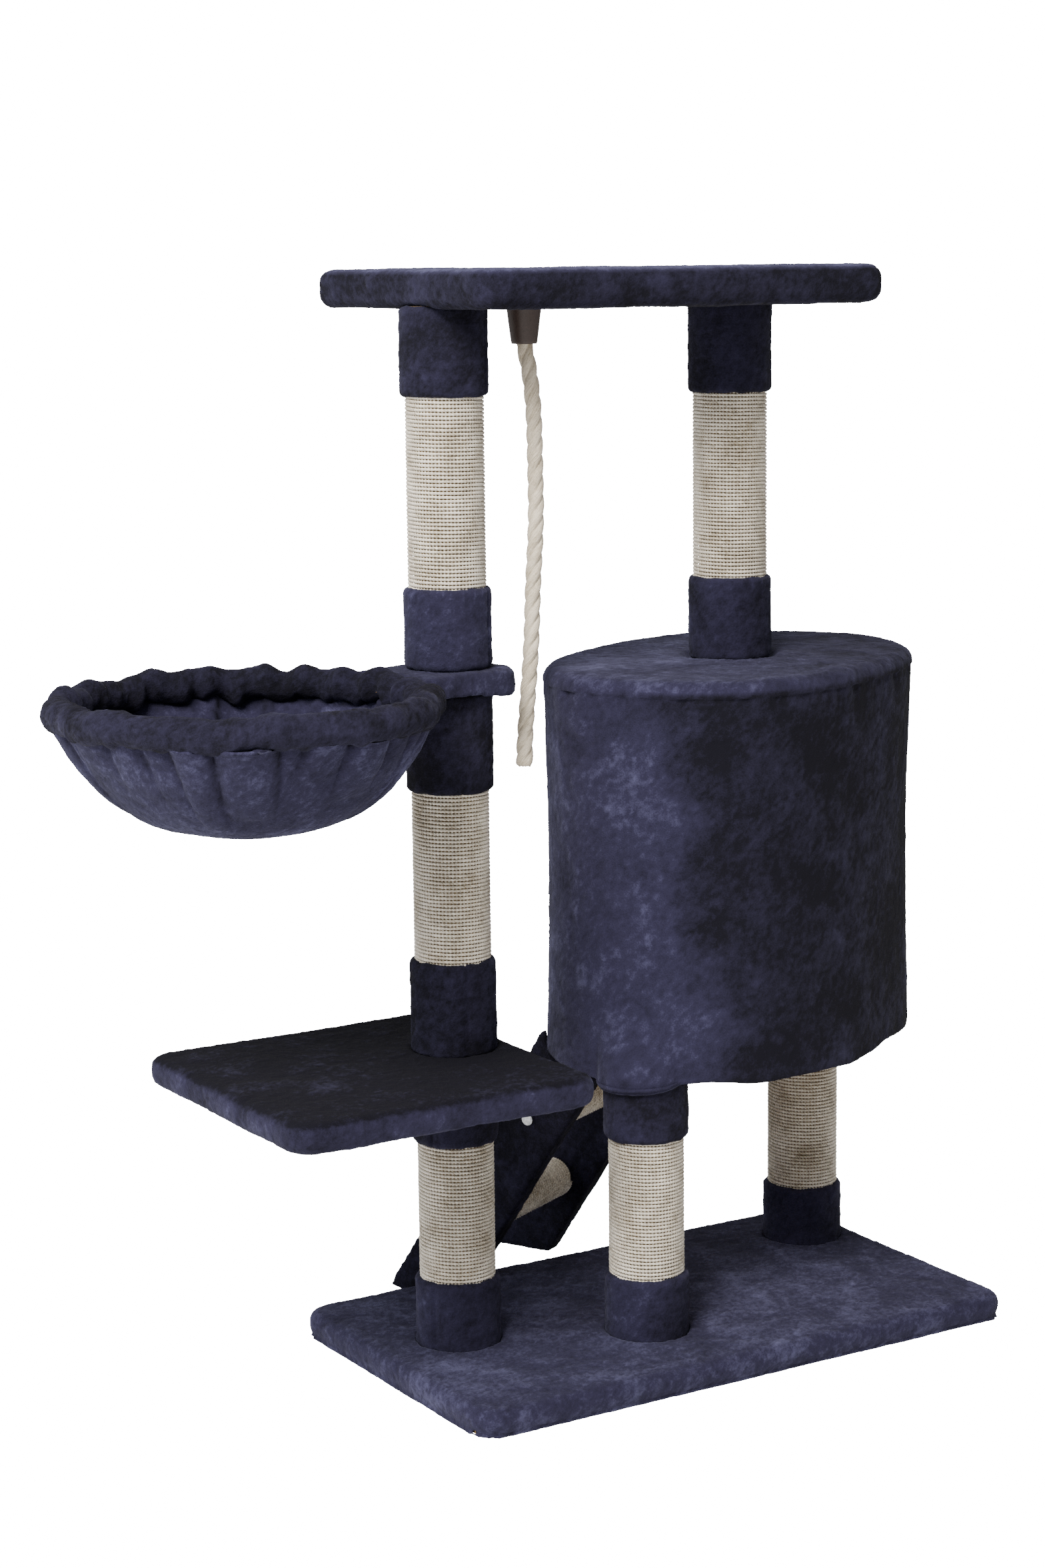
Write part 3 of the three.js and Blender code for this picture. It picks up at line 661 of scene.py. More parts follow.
class WindingTree:
    """Winds a twisted yarn round an upright tube: a spiral, tilted along its length, with a lobed section."""

    def __init__(self) -> None:
        """Builds the node group."""
        tree = bpy.data.node_groups.new("sisal_winding", "GeometryNodeTree")
        self.tree = tree
        self.keys = {name: socket(tree, name, "NodeSocketFloat") for name in (
            "Radius", "Height", "Turns", "Yarn radius", "Lobe depth", "Lay", "Wander")}
        self.keys["Steps a turn"] = socket(tree, "Steps a turn", "NodeSocketInt")
        self.keys["Place"] = socket(tree, "Place", "NodeSocketVector")
        self.keys["Material"] = socket(tree, "Material", "NodeSocketMaterial")
        socket(tree, "Mesh", "NodeSocketGeometry", output=True)
        given = add(tree, "NodeGroupInput").outputs
        spiral = add(tree, "GeometryNodeCurveSpiral", {
            "Resolution": given["Steps a turn"], "Rotations": given["Turns"], "Start Radius": given["Radius"],
            "End Radius": given["Radius"], "Height": given["Height"]})
        along = add(tree, "GeometryNodeSplineParameter").outputs["Length"]
        turn = add(tree, "ShaderNodeMath", {0: along, 1: given["Lay"]}, operation="DIVIDE")
        tilt = add(tree, "ShaderNodeMath", {0: turn.outputs[0], 1: TAU}, operation="MULTIPLY")
        twisted = add(tree, "GeometryNodeSetCurveTilt", {"Curve": spiral.outputs[0], "Tilt": tilt.outputs[0]})
        place = add(tree, "GeometryNodeInputPosition").outputs[0]
        stray = add(tree, "ShaderNodeTexNoise", {"Vector": place, "Scale": 60.0, "Detail": 1.0})
        lift = add(tree, "ShaderNodeVectorMath", {0: stray.outputs[1], 1: (0.5, 0.5, 0.5)},
                   operation="SUBTRACT")
        shift = add(tree, "ShaderNodeVectorMath", {0: lift.outputs[0], "Scale": given["Wander"]},
                    operation="SCALE")
        loose = add(tree, "GeometryNodeSetPosition", {"Geometry": twisted.outputs[0],
                                                      "Offset": shift.outputs[0]})
        kept = add(tree, "GeometryNodeStoreNamedAttribute", {"Geometry": loose.outputs[0], "Name": "along",
                                                             "Value": along}, domain="POINT")
        ring = add(tree, "GeometryNodeCurvePrimitiveCircle", {"Resolution": 9, "Radius": 1.0})
        number = add(tree, "GeometryNodeInputIndex").outputs[0]
        angle = add(tree, "ShaderNodeMath", {0: number, 1: TAU / 3}, operation="MULTIPLY")
        lobe = add(tree, "ShaderNodeMath", {0: angle.outputs[0]}, operation="COSINE")
        deep = add(tree, "ShaderNodeMath", {0: lobe.outputs[0], 1: given["Lobe depth"],
                                            2: given["Yarn radius"]}, operation="MULTIPLY_ADD")
        out = add(tree, "ShaderNodeVectorMath", {0: place, "Scale": deep.outputs[0]}, operation="SCALE")
        section = add(tree, "GeometryNodeSetPosition", {"Geometry": ring.outputs[0],
                                                        "Position": out.outputs[0]})
        named = add(tree, "GeometryNodeStoreNamedAttribute", {
            "Geometry": section.outputs[0], "Name": "around", "Value": number}, domain="POINT")
        mesh = add(tree, "GeometryNodeCurveToMesh", {
            "Curve": kept.outputs[0], "Profile Curve": named.outputs[0], "Fill Caps": True})
        length = add(tree, "GeometryNodeInputNamedAttribute", {"Name": "along"}).outputs[0]
        side = add(tree, "GeometryNodeInputNamedAttribute", {"Name": "around"}).outputs[0]
        long = add(tree, "ShaderNodeMath", {0: length, 1: 140.0}, operation="MULTIPLY")
        yarn = add(tree, "ShaderNodeCombineXYZ", {0: long.outputs[0], 1: side})
        tagged = add(tree, "GeometryNodeStoreNamedAttribute", {
            "Geometry": mesh.outputs[0], "Name": "yarn", "Value": yarn.outputs[0]},
            data_type="FLOAT_VECTOR", domain="POINT")
        moved = add(tree, "GeometryNodeTransform", {"Geometry": tagged.outputs[0],
                                                    "Translation": given["Place"]})
        shaded = add(tree, "GeometryNodeSetShadeSmooth", {"Geometry": moved.outputs[0], "Shade Smooth": True})
        solid = add(tree, "GeometryNodeRealizeInstances", {"Geometry": shaded.outputs[0]})
        dressed = add(tree, "GeometryNodeSetMaterial", {"Geometry": solid.outputs[0],
                                                        "Material": given["Material"]})
        add(tree, "NodeGroupOutput", {"Mesh": dressed.outputs[0]})

    def wind(self, name: str, **values: Any) -> bpy.types.Object:
        """Winds a yarn.

        Args:
            name: The piece's name.
            values: Socket names, with _ for spaces, to values.

        Returns:
            The wound yarn as a plain mesh.
        """
        piece = new_object(name, np.zeros((1, 3)), [])
        step = piece.modifiers.new("winding", "NODES")
        step.node_group = self.tree
        for key, value in values.items():
            step[self.keys[key.replace("_", " ")]] = value
        return applied(piece)


WINDING_TREE = WindingTree()


# ---------------------------------------------------------------- boards


@dataclass
class CoveredBoard:
    """A chipboard panel in a plush cover, with pockets where posts press into the pile."""

    name: str
    pile_rise: float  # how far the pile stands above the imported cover
    below: bool = True  # whether the cover closes under the board
    skin: float = 5 * MM
    corner: float = 27 * MM
    edge: float = 9.5 * MM
    voxel: float = 2.7 * MM
    posts: Sequence[str] = ()  # packed cuffs that stand on it or meet it from below
    post_gap: float = 0.4 * MM
    board_gap: float = 0.3 * MM
    lay: float = 0.0  # painted light and shade on the top: above 0 paler, below 0 darker
    # painted light and shade on the sides and the underside
    side_light_and_shade: float = 0.0

    def loops(self, low: Vector, high: Vector) -> list[Points]:
        """Outlines of the cover.

        Args:
            low: Lowest corner of the cover.
            high: Highest corner of the cover.

        Returns:
            The loops, from the bottom up.
        """
        sides = edge_round(low.z, high.z, self.edge)
        if not self.below:
            sides = [(0.0, low.z)] + [(inset, z) for inset, z in sides if z > low.z + 0.5 * MM]
        return [rounded_rectangle(low, high, self.corner, inset, z) for inset, z in sides]

    def build(self) -> bpy.types.Object:
        """Makes the cover's mesh, pile and place.

        Returns:
            The cover.
        """
        low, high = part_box(f"{self.name}_cover")
        board_low, board_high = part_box(f"{self.name}_board")
        high = Vector((high.x, high.y, high.z + self.pile_rise))
        cover = loft(f"{self.name}_plush", self.loops(low, high))
        cutters = []
        for post in self.posts:
            foot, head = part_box(post)
            x, y = (foot.x + head.x) / 2, (foot.y + head.y) / 2
            radius = (head.x - foot.x) / 2 + self.post_gap
            cutters.append(cylinder(radius, foot.z - self.post_gap, head.z + self.post_gap, x, y))
        room_floor = board_low.z - self.board_gap if self.below else low.z - self.skin
        room = [rounded_rectangle(board_low, board_high, self.corner - self.skin, -self.board_gap, z)
                for z in (room_floor, board_high.z + self.board_gap)]
        if not self.below:
            cutters.append(loft("cutter", room))
        if cutters:
            cut(cover, cutters)
        even(cover, self.voxel)
        if self.below:
            shell_inside(cover, room)
        # Painted light and shade: the top's lay on the upper few millimetres, the sides' below, blended over
        # 4 mm.
        up = np.clip((vertices(cover)[:, 2] - high.z + 5 * MM) / (4 * MM), 0, 1)
        paint_light_and_shade(cover, self.side_light_and_shade + (self.lay - self.side_light_and_shade) * up)
        return settle(grow_pile(cover), "stand", "plush", f"{self.name}_cover")


# ---------------------------------------------------------------- posts


@dataclass
class Post:
    """A post: twisted sisal wound between two plush cuffs whose edges are turned in."""

    name: str
    pitch: float = 3.5 * MM
    yarn_share: float = 0.55  # the yarn's radius as a share of the pitch; over half, so turns press together
    tuck: float = 4.5 * MM  # how far the winding runs in under each cuff
    lay: float = 9 * MM
    steps: int = 64
    cuff_edge: float = 5 * MM
    quad: float = 2.3 * MM
    seam: float = 3.6  # angle of the cuffs' seam, in radians
    light_and_shade: tuple[float, float] = (-0.2, -0.2)  # painted shade on the lower and the upper cuff's pile
    flare: float = 0.6 * MM
    seed: int = 3

    def winding(self) -> bpy.types.Object:
        """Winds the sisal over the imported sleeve's height, its ends tucked under the cuffs.

        Returns:
            The winding.
        """
        low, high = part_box(f"{self.name}_sisal")
        yarn = self.pitch * self.yarn_share
        tall = high.z - low.z - 2 * yarn + 2 * self.tuck
        piece = WINDING_TREE.wind(
            f"{self.name}_winding", Radius=(high.x - low.x) / 2 - yarn, Height=tall, Turns=tall / self.pitch,
            Yarn_radius=yarn * 0.93, Lobe_depth=yarn * 0.09, Lay=self.lay, Wander=0.6 * MM,
            Steps_a_turn=self.steps, Material=SISAL,
            Place=((low.x + high.x) / 2, (low.y + high.y) / 2, low.z + yarn - self.tuck))
        return settle(piece, "stand", "sisal_winding", f"{self.name}_sisal")

    def cuff(self, which: str) -> bpy.types.Object:
        """Makes one plush cuff.

        Args:
            which: lower or upper.

        Returns:
            The cuff.
        """
        node = f"{self.name}_cuff_{which}"
        low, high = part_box(node)
        x, y = (low.x + high.x) / 2, (low.y + high.y) / 2
        outer, inner = (high.x - low.x) / 2, half_width(f"{self.name}_tube") + 0.5 * MM
        count = round(TAU * outer / self.quad)
        r = self.cuff_edge
        top, bottom = high.z - 0.2 * MM, low.z + 0.2 * MM
        side = np.linspace(bottom + r, top - r, max(round((top - bottom - 2 * r) / self.quad), 2))
        arc = np.linspace(0, math.pi / 2, 5)
        profile = [(outer - r + r * math.sin(a), bottom + r - r * math.cos(a)) for a in arc]
        profile += [(outer, float(z)) for z in side[1:-1]]
        profile += [(outer - r + r * math.cos(a), top - r + r * math.sin(a)) for a in arc]
        profile += [(inner, top - 0.6 * MM), (inner, (top + bottom) / 2), (inner, bottom + 0.6 * MM)]
        piece = turned(f"{node}_plush", profile, count, x, y)
        self.shape_cuff(piece, x, y, (bottom, top), inner)
        # The cuff's painted shade, as its lay.
        pile = Pile(dent=(55 * MM, 2.2 * MM), lay=self.light_and_shade[which == "upper"])
        return settle(grow_pile(piece, pile), "stand", "plush", node)

    def shape_cuff(self, piece: bpy.types.Object, x: float, y: float, span: tuple[float, float],
                   inner: float) -> None:
        """Puckers a cuff's edges and sinks its seam.

        Args:
            piece: The cuff.
            x: The post's place.
            y: The post's place.
            span: Heights of the cuff's foot and head.
            inner: Radius of the cuff's inside.
        """
        points = vertices(piece)
        flat = points[:, :2] - (x, y)
        reach = np.hypot(flat[:, 0], flat[:, 1])
        angle = np.arctan2(flat[:, 1], flat[:, 0])
        out = np.clip((reach - inner) / (6 * MM), 0, 1)
        near_edge = np.exp(-np.minimum(points[:, 2] - span[0], span[1] - points[:, 2]) / (9 * MM))
        push = waves(angle, self.seed, (5, 9, 14)) * near_edge * self.flare
        away = np.angle(np.exp(1j * (angle - self.seam)))
        push -= 2.2 * MM * np.exp(-(away * reach / (2.2 * MM)) ** 2)
        points[:, :2] += flat / reach[:, None] * (push * out)[:, None]
        points[:, 2] += waves(angle, self.seed + 50, (3, 7, 11)) * near_edge * out * 0.5 * MM
        set_vertices(piece, points)

    def build(self) -> None:
        """Makes the winding and both cuffs."""
        self.winding()
        self.cuff("lower")
        self.cuff("upper")


def half_width(node: str) -> float:
    """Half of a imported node's width."""
    low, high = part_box(node)
    return (high.x - low.x) / 2


def vertices(piece: bpy.types.Object) -> Points:
    """A piece's vertex places.

    Args:
        piece: The piece.

    Returns:
        One row for each vertex.
    """
    flat = np.empty(len(piece.data.vertices) * 3)
    piece.data.vertices.foreach_get("co", flat)
    return flat.reshape(-1, 3)


def set_vertices(piece: bpy.types.Object, points: Points) -> None:
    """Moves a piece's vertices."""
    piece.data.vertices.foreach_set("co", np.ascontiguousarray(points, dtype=np.float32).ravel())
    piece.data.update()


def merged_copy(node: str, name: str) -> bpy.types.Object:
    """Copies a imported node's mesh, to make a soft piece from its shape.

    Args:
        node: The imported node.
        name: The new piece's name.

    Returns:
        The copy, closed and with no material.
    """
    piece = bpy.data.objects.new(name, NODES[node].data.copy())
    bpy.context.scene.collection.objects.link(piece)
    bm = bmesh.new()
    bm.from_mesh(piece.data)
    bmesh.ops.remove_doubles(bm, verts=bm.verts[:], dist=0.01 * MM)
    bm.to_mesh(piece.data)
    bm.free()
    piece.data.materials.clear()
    return piece


# ---------------------------------------------------------------- house


@dataclass
class House:
    """The oval house: a wall of plush with a hem and a doorway, and a padded roof sewn to its top edge."""

    x: float = 112 * MM
    y: float = 32 * MM
    angle: float = math.radians(27.4)
    half_length: float = 212 * MM
    half_depth: float = 155 * MM
    fullness: float = 2.4
    cap: float = 16 * MM  # height of the roof's side band
    door_along: float = -58 * MM
    door_radius: float = 85 * MM
    door_sill: float = 32 * MM
    edge: float = 13 * MM
    hem: float = 13.5 * MM
    girth: float = 1165 * MM
    quad: float = 3.65 * MM
    waist: float = 3.4 * MM
    shade_axis: tuple[float, float] = (0.852, -0.523)  # the way along which the wall's painted shade deepens
    shade_from: float = -50 * MM  # where the painted shade starts, along that way
    shade_over: float = 70 * MM  # the width over which the painted shade deepens
    shade_drift: float = 62 * MM  # how far that line drifts from the wall's foot to its top
    wall_height: float = 360 * MM
    crease: float = -0.34  # angle of the sewn crease, in the house's axes

    def outline(self, t: Points) -> Points:
        """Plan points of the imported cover.

        Args:
            t: Angles.

        Returns:
            Points in the house's axes.
        """
        power = 2 / self.fullness
        c, s = np.cos(t), np.sin(t)
        return np.stack([self.half_length * np.sign(c) * np.abs(c) ** power,
                         self.half_depth * np.sign(s) * np.abs(s) ** power], 1)

    def spaced(self, count: int) -> tuple[Points, Points]:
        """Evenly spaced plan points.

        Args:
            count: How many.

        Returns:
            The points and the outward direction at each, in the house's axes.
        """
        fine = self.outline(np.linspace(0, TAU, 4001))
        steps = np.hypot(*np.diff(fine, axis=0).T)
        run = np.concatenate([[0], np.cumsum(steps)])
        at = np.arange(count) / count * run[-1]
        plan = np.stack([np.interp(at, run, fine[:, 0]), np.interp(at, run, fine[:, 1])], 1)
        ahead = np.roll(plan, -1, 0) - np.roll(plan, 1, 0)
        out = np.stack([ahead[:, 1], -ahead[:, 0]], 1)
        return plan, out / np.hypot(*out.T)[:, None]

    def to_frame(self, plan: Points, z: Points) -> Points:
        """Turns points in the house's own axes into frame points.

        Args:
            plan: Plan points in the house's axes.
            z: Their heights.

        Returns:
            The frame points.
        """
        c, s = math.cos(self.angle), math.sin(self.angle)
        x = self.x + plan[:, 0] * c - plan[:, 1] * s
        y = self.y + plan[:, 0] * s + plan[:, 1] * c
        return np.stack([x, y, z], 1)

    def in_house(self, point: Sequence[float]) -> tuple[float, float]:
        """A frame point's plan place in the house's own axes.

        Args:
            point: The frame point.

        Returns:
            Its places along the house's length and depth.
        """
        dx, dy = point[0] - self.x, point[1] - self.y
        c, s = math.cos(self.angle), math.sin(self.angle)
        return dx * c + dy * s, -dx * s + dy * c

    def build(self) -> None:
        """Makes the cover as one sheet: hem, wall, seam, rounded top edge and roof."""
        low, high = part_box("house_cover")
        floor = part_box("house_floor")[0].z
        hem, seam = floor - self.hem, high.z - self.cap
        plan, out = self.spaced(round(self.girth / self.quad))
        rows = self.wall_rows(plan, out, hem, seam) + self.roof_rows(plan, out, seam, high.z)
        count = len(plan)
        faces = lattice(len(rows), count)
        faces.append(tuple(range((len(rows) - 1) * count, len(rows) * count)))
        piece = new_object("house_plush", np.concatenate(rows), faces)
        self.press(piece)
        # The cover's painted light and shade, as its lay.
        paint_light_and_shade(piece, self.lay(vertices(piece), seam))
        self.open_door(piece, floor + 15 * MM + self.door_sill + self.door_radius)
        thick = piece.modifiers.new("skin", "SOLIDIFY")
        thick.thickness, thick.offset = 4 * MM, -1
        applied(piece)
        settle(grow_pile(piece, Pile(dent=(110 * MM, 4 * MM), clump=(14 * MM, 1.6 * MM))), "stand", "plush",
               "house_cover")

    def wall_rows(self, plan: Points, out: Points, hem: float, seam: float) -> list[Points]:
        """Rows of the wall from inside the hem, round its fold and up to the roof's seam.

        Args:
            plan: Plan points in the house's axes.
            out: The outward direction at each.
            hem: Height of the hem.
            seam: Height of the roof's seam.

        Returns:
            The rows, in the frame.
        """
        low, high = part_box("center_post_cuff_upper")
        post = np.array(self.in_house(((low.x + high.x) / 2, (low.y + high.y) / 2)))
        angle = np.arctan2(plan[:, 1], plan[:, 0])
        bulge = np.exp(-(np.hypot(*(plan - post).T) / (44 * MM)) ** 4)
        crease = np.angle(np.exp(1j * (angle - self.crease)))
        pucker, folds = waves(angle, 11, (23, 31, 43)), waves(angle, 17, (3, 5, 8))
        ripple = waves(angle, 23, (9, 13, 19))
        reach = (high.x - low.x) / 2 + 5.7 * MM
        rows = []
        for z in np.linspace(hem, seam, round((seam - hem) / self.quad)):
            share = (z - hem) / (seam - hem)
            foot = math.exp(-(z - hem) / (16 * MM))
            spread = math.exp(-((z - hem) / (34 * MM)) ** 2)
            push = 1.4 * MM * pucker * math.exp(-(seam - z) / (14 * MM))
            push -= self.waist * math.sin(math.pi * share)
            push += 1.2 * MM * folds * (1 - share) - 1.0 * MM * math.exp(-((seam - z) / (4 * MM)) ** 2)
            push -= 3.6 * MM * np.exp(-(crease * 190 * MM / (4.5 * MM)) ** 2)
            points = plan + out * push[:, None]
            around = points - post
            gap = np.hypot(*around.T)
            points = points + around / gap[:, None] * (np.clip(reach - gap, 0, None) * spread)[:, None]
            droop = (2.2 * MM * folds + 0.8 * MM * ripple) * foot + 8 * MM * bulge * spread
            rows.append(self.to_frame(points, z - droop))
        inward = self.to_frame(plan - out, 0 * angle) - self.to_frame(plan, 0 * angle)
        turned_in = []
        for depth, rise in ((9, 4), (7.6, 0.4), (4, -1.2)):
            turned_in.append(rows[0] + inward * (depth * MM * (1 - 0.8 * bulge))[:, None] + (0, 0, rise * MM))
        return turned_in + rows

    def roof_rows(self, plan: Points, out: Points, seam: float, top: float) -> list[Points]:
        """Rows of the roof from its seam, over its round edge and in to the middle.

        Args:
            plan: Plan points in the house's axes.
            out: The outward direction at each.
            seam: Height of the roof's seam.
            top: Height of the roof.

        Returns:
            The rows, in the frame.
        """
        angle = np.arctan2(plan[:, 1], plan[:, 0])
        swell = waves(angle, 29, (7, 12, 17))
        r = self.edge
        rows = []
        for z in np.linspace(seam + 1.5 * MM, top - r, 3):
            rows.append(self.to_frame(plan + out * (0.8 + 0.6 * swell)[:, None] * MM, np.full(len(plan), z)))
        for t in np.linspace(0, math.pi / 2, 6)[1:]:
            inset = r * (1 - math.cos(t)) - (0.8 + 0.6 * swell) * MM
            level = top - r * (1 - math.sin(t))
            rows.append(self.to_frame(plan - out * inset[:, None], np.full(len(plan), level)))
        inner = plan - out * (r - 0.8 * MM)
        for k in np.linspace(1, 0.02, round(self.half_depth / self.quad))[1:]:
            pad = 1.2 * MM * math.exp(-((1 - k) / 0.1) ** 2) * swell
            rows.append(self.to_frame(inner * k, top + pad))
        return rows

    def lay(self, points: Points, seam: float) -> Points:
        """The cover's painted light and shade, as its lay: the roof painted paler at one end and darker
        towards the other, the wall painted darker past a ragged line.

        Args:
            points: Frame points.
            seam: Height of the roof's seam.

        Returns:
            The lay at each point.
        """
        across = (points[:, 0] - self.x) * self.shade_axis[0] + (points[:, 1] - self.y) * self.shade_axis[1]
        z = points[:, 2]
        shade_wobble = 13 * MM * np.sin(z / (31 * MM)) + 8 * MM * np.sin(z / (11 * MM) + 1)
        drift = self.shade_drift * (z - seam + self.wall_height) / self.wall_height
        side = np.clip((across - self.shade_from + drift + shade_wobble) / self.shade_over, 0, 1)
        # Painted shade on the wall past the line; on the roof, painted light fading to painted shade.
        wall = 0.02 - 0.42 * side * side * (3 - 2 * side)
        roof = 0.12 - 0.3 * np.clip((across + 60 * MM) / (200 * MM), 0, 1)
        return np.where(z > seam + 6 * MM, roof, wall)

    def press(self, piece: bpy.types.Object) -> None:
        """Presses the roof down where the rear post stands on it.

        Args:
            piece: The house's cover.
        """
        foot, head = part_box("rear_post_cuff_lower")
        middle, radius = (foot + head) / 2, (head.x - foot.x) / 2
        points = vertices(piece)
        away = np.hypot(points[:, 0] - middle.x, points[:, 1] - middle.y)
        near = np.clip((away - radius - 1 * MM) / (8 * MM), 0, 1)
        rise = near * near * (3 - 2 * near)
        level = foot.z - 1.2 * MM
        on_roof = points[:, 2] > level - 4 * MM
        points[on_roof, 2] = (level + (points[:, 2] - level) * rise)[on_roof]
        set_vertices(piece, points)

    def open_door(self, piece: bpy.types.Object, middle: float) -> None:
        """Removes the faces inside the doorway and rounds its edge.

        Args:
            piece: The house's cover.
            middle: Height of the doorway's middle.
        """
        bm = bmesh.new()
        bm.from_mesh(piece.data)

        def offset(co: Vector) -> tuple[float, float, float]:
            """A point's place across and up from the doorway's middle, and its depth in the house."""
            a, b = self.in_house(co)
            return a - self.door_along, co.z - middle, b

        gone = []
        for face in bm.faces:
            a, up, b = offset(face.calc_center_median())
            if b > 60 * MM and math.hypot(a, up) < self.door_radius:
                gone.append(face)
        bmesh.ops.delete(bm, geom=gone, context="FACES")
        c, s = math.cos(self.angle), math.sin(self.angle)
        for vert in bm.verts:
            a, up, b = offset(vert.co)
            away = math.hypot(a, up)
            if b > 60 * MM and vert.is_boundary and away < self.door_radius + 8 * MM:
                shift = self.door_radius / away
                da, dz = a * shift - a, up * shift - up
                vert.co += Vector((da * c, da * s, dz))
        bm.to_mesh(piece.data)
        bm.free()


# ---------------------------------------------------------------- ladder


@dataclass
class Ladder:
    """The ladder behind the house: plush-covered rails and sisal-wound rungs."""

    voxel: float = 2.8 * MM
    yarn: float = 2.2 * MM
    pitch: float = 4.2 * MM

    def rail(self, side: str) -> bpy.types.Object:
        """Makes a rail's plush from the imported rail, with softened edges.

        Args:
            side: left or right.

        Returns:
            The rail.
        """
        node = f"ladder_rail_{side}"
        piece = even(merged_copy(node, f"{node}_plush"), self.voxel, 7)
        # The rails' pile is painted darker, as painted shade.
        return settle(grow_pile(piece, Pile(dent=(60 * MM, 2 * MM), lay=-0.4)), "stand", "plush", node)

    def rung(self, which: str) -> bpy.types.Object:
        """Winds a rung: a fine sisal yarn from rail to rail.

        Args:
            which: lower or upper.

        Returns:
            The rung.
        """
        node = f"ladder_rung_{which}"
        low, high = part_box(node)
        middle = (low + high) / 2
        along = Vector((math.cos(House.angle), math.sin(House.angle), 0))
        points = np.array([v.co for v in NODES[node].data.vertices])
        run = (points - np.array(middle)) @ np.array(along)
        long = float(np.ptp(run))
        radius, wound = (high.z - low.z) / 2, long - 2 * self.yarn
        piece = WINDING_TREE.wind(
            f"{node}_winding", Radius=radius - self.yarn, Height=wound, Turns=wound / self.pitch,
            Yarn_radius=self.yarn * 0.93, Lobe_depth=self.yarn * 0.12, Lay=8 * MM, Wander=0.5 * MM,
            Steps_a_turn=48, Place=(0.0, 0.0, -wound / 2), Material=SISAL)
        core = loft("core", [circle(radius - 1.7 * self.yarn, 48, z=z) for z in (-long / 2, long / 2)])
        core.data.materials.append(SISAL)
        joined = join(piece, core)
        aim = Matrix.Translation(middle) @ along.to_track_quat("Z", "Y").to_matrix().to_4x4()
        joined.data.transform(aim)
        return settle(joined, "stand", "rung_sisal", node)

    def build(self) -> None:
        """Makes both rails and both rungs."""
        for side in ("left", "right"):
            self.rail(side)
        for which in ("lower", "upper"):
            self.rung(which)


def join(piece: bpy.types.Object, other: bpy.types.Object) -> bpy.types.Object:
    """Adds another piece's mesh, which has the same one material, to a piece and removes the other.

    Args:
        piece: The piece that stays.
        other: The piece that goes into it.

    Returns:
        The piece that stays.
    """
    bm = bmesh.new()
    bm.from_mesh(piece.data)
    bm.from_mesh(other.data)
    bm.to_mesh(piece.data)
    bm.free()
    bpy.data.objects.remove(other)
    return piece


# ---------------------------------------------------------------- basket


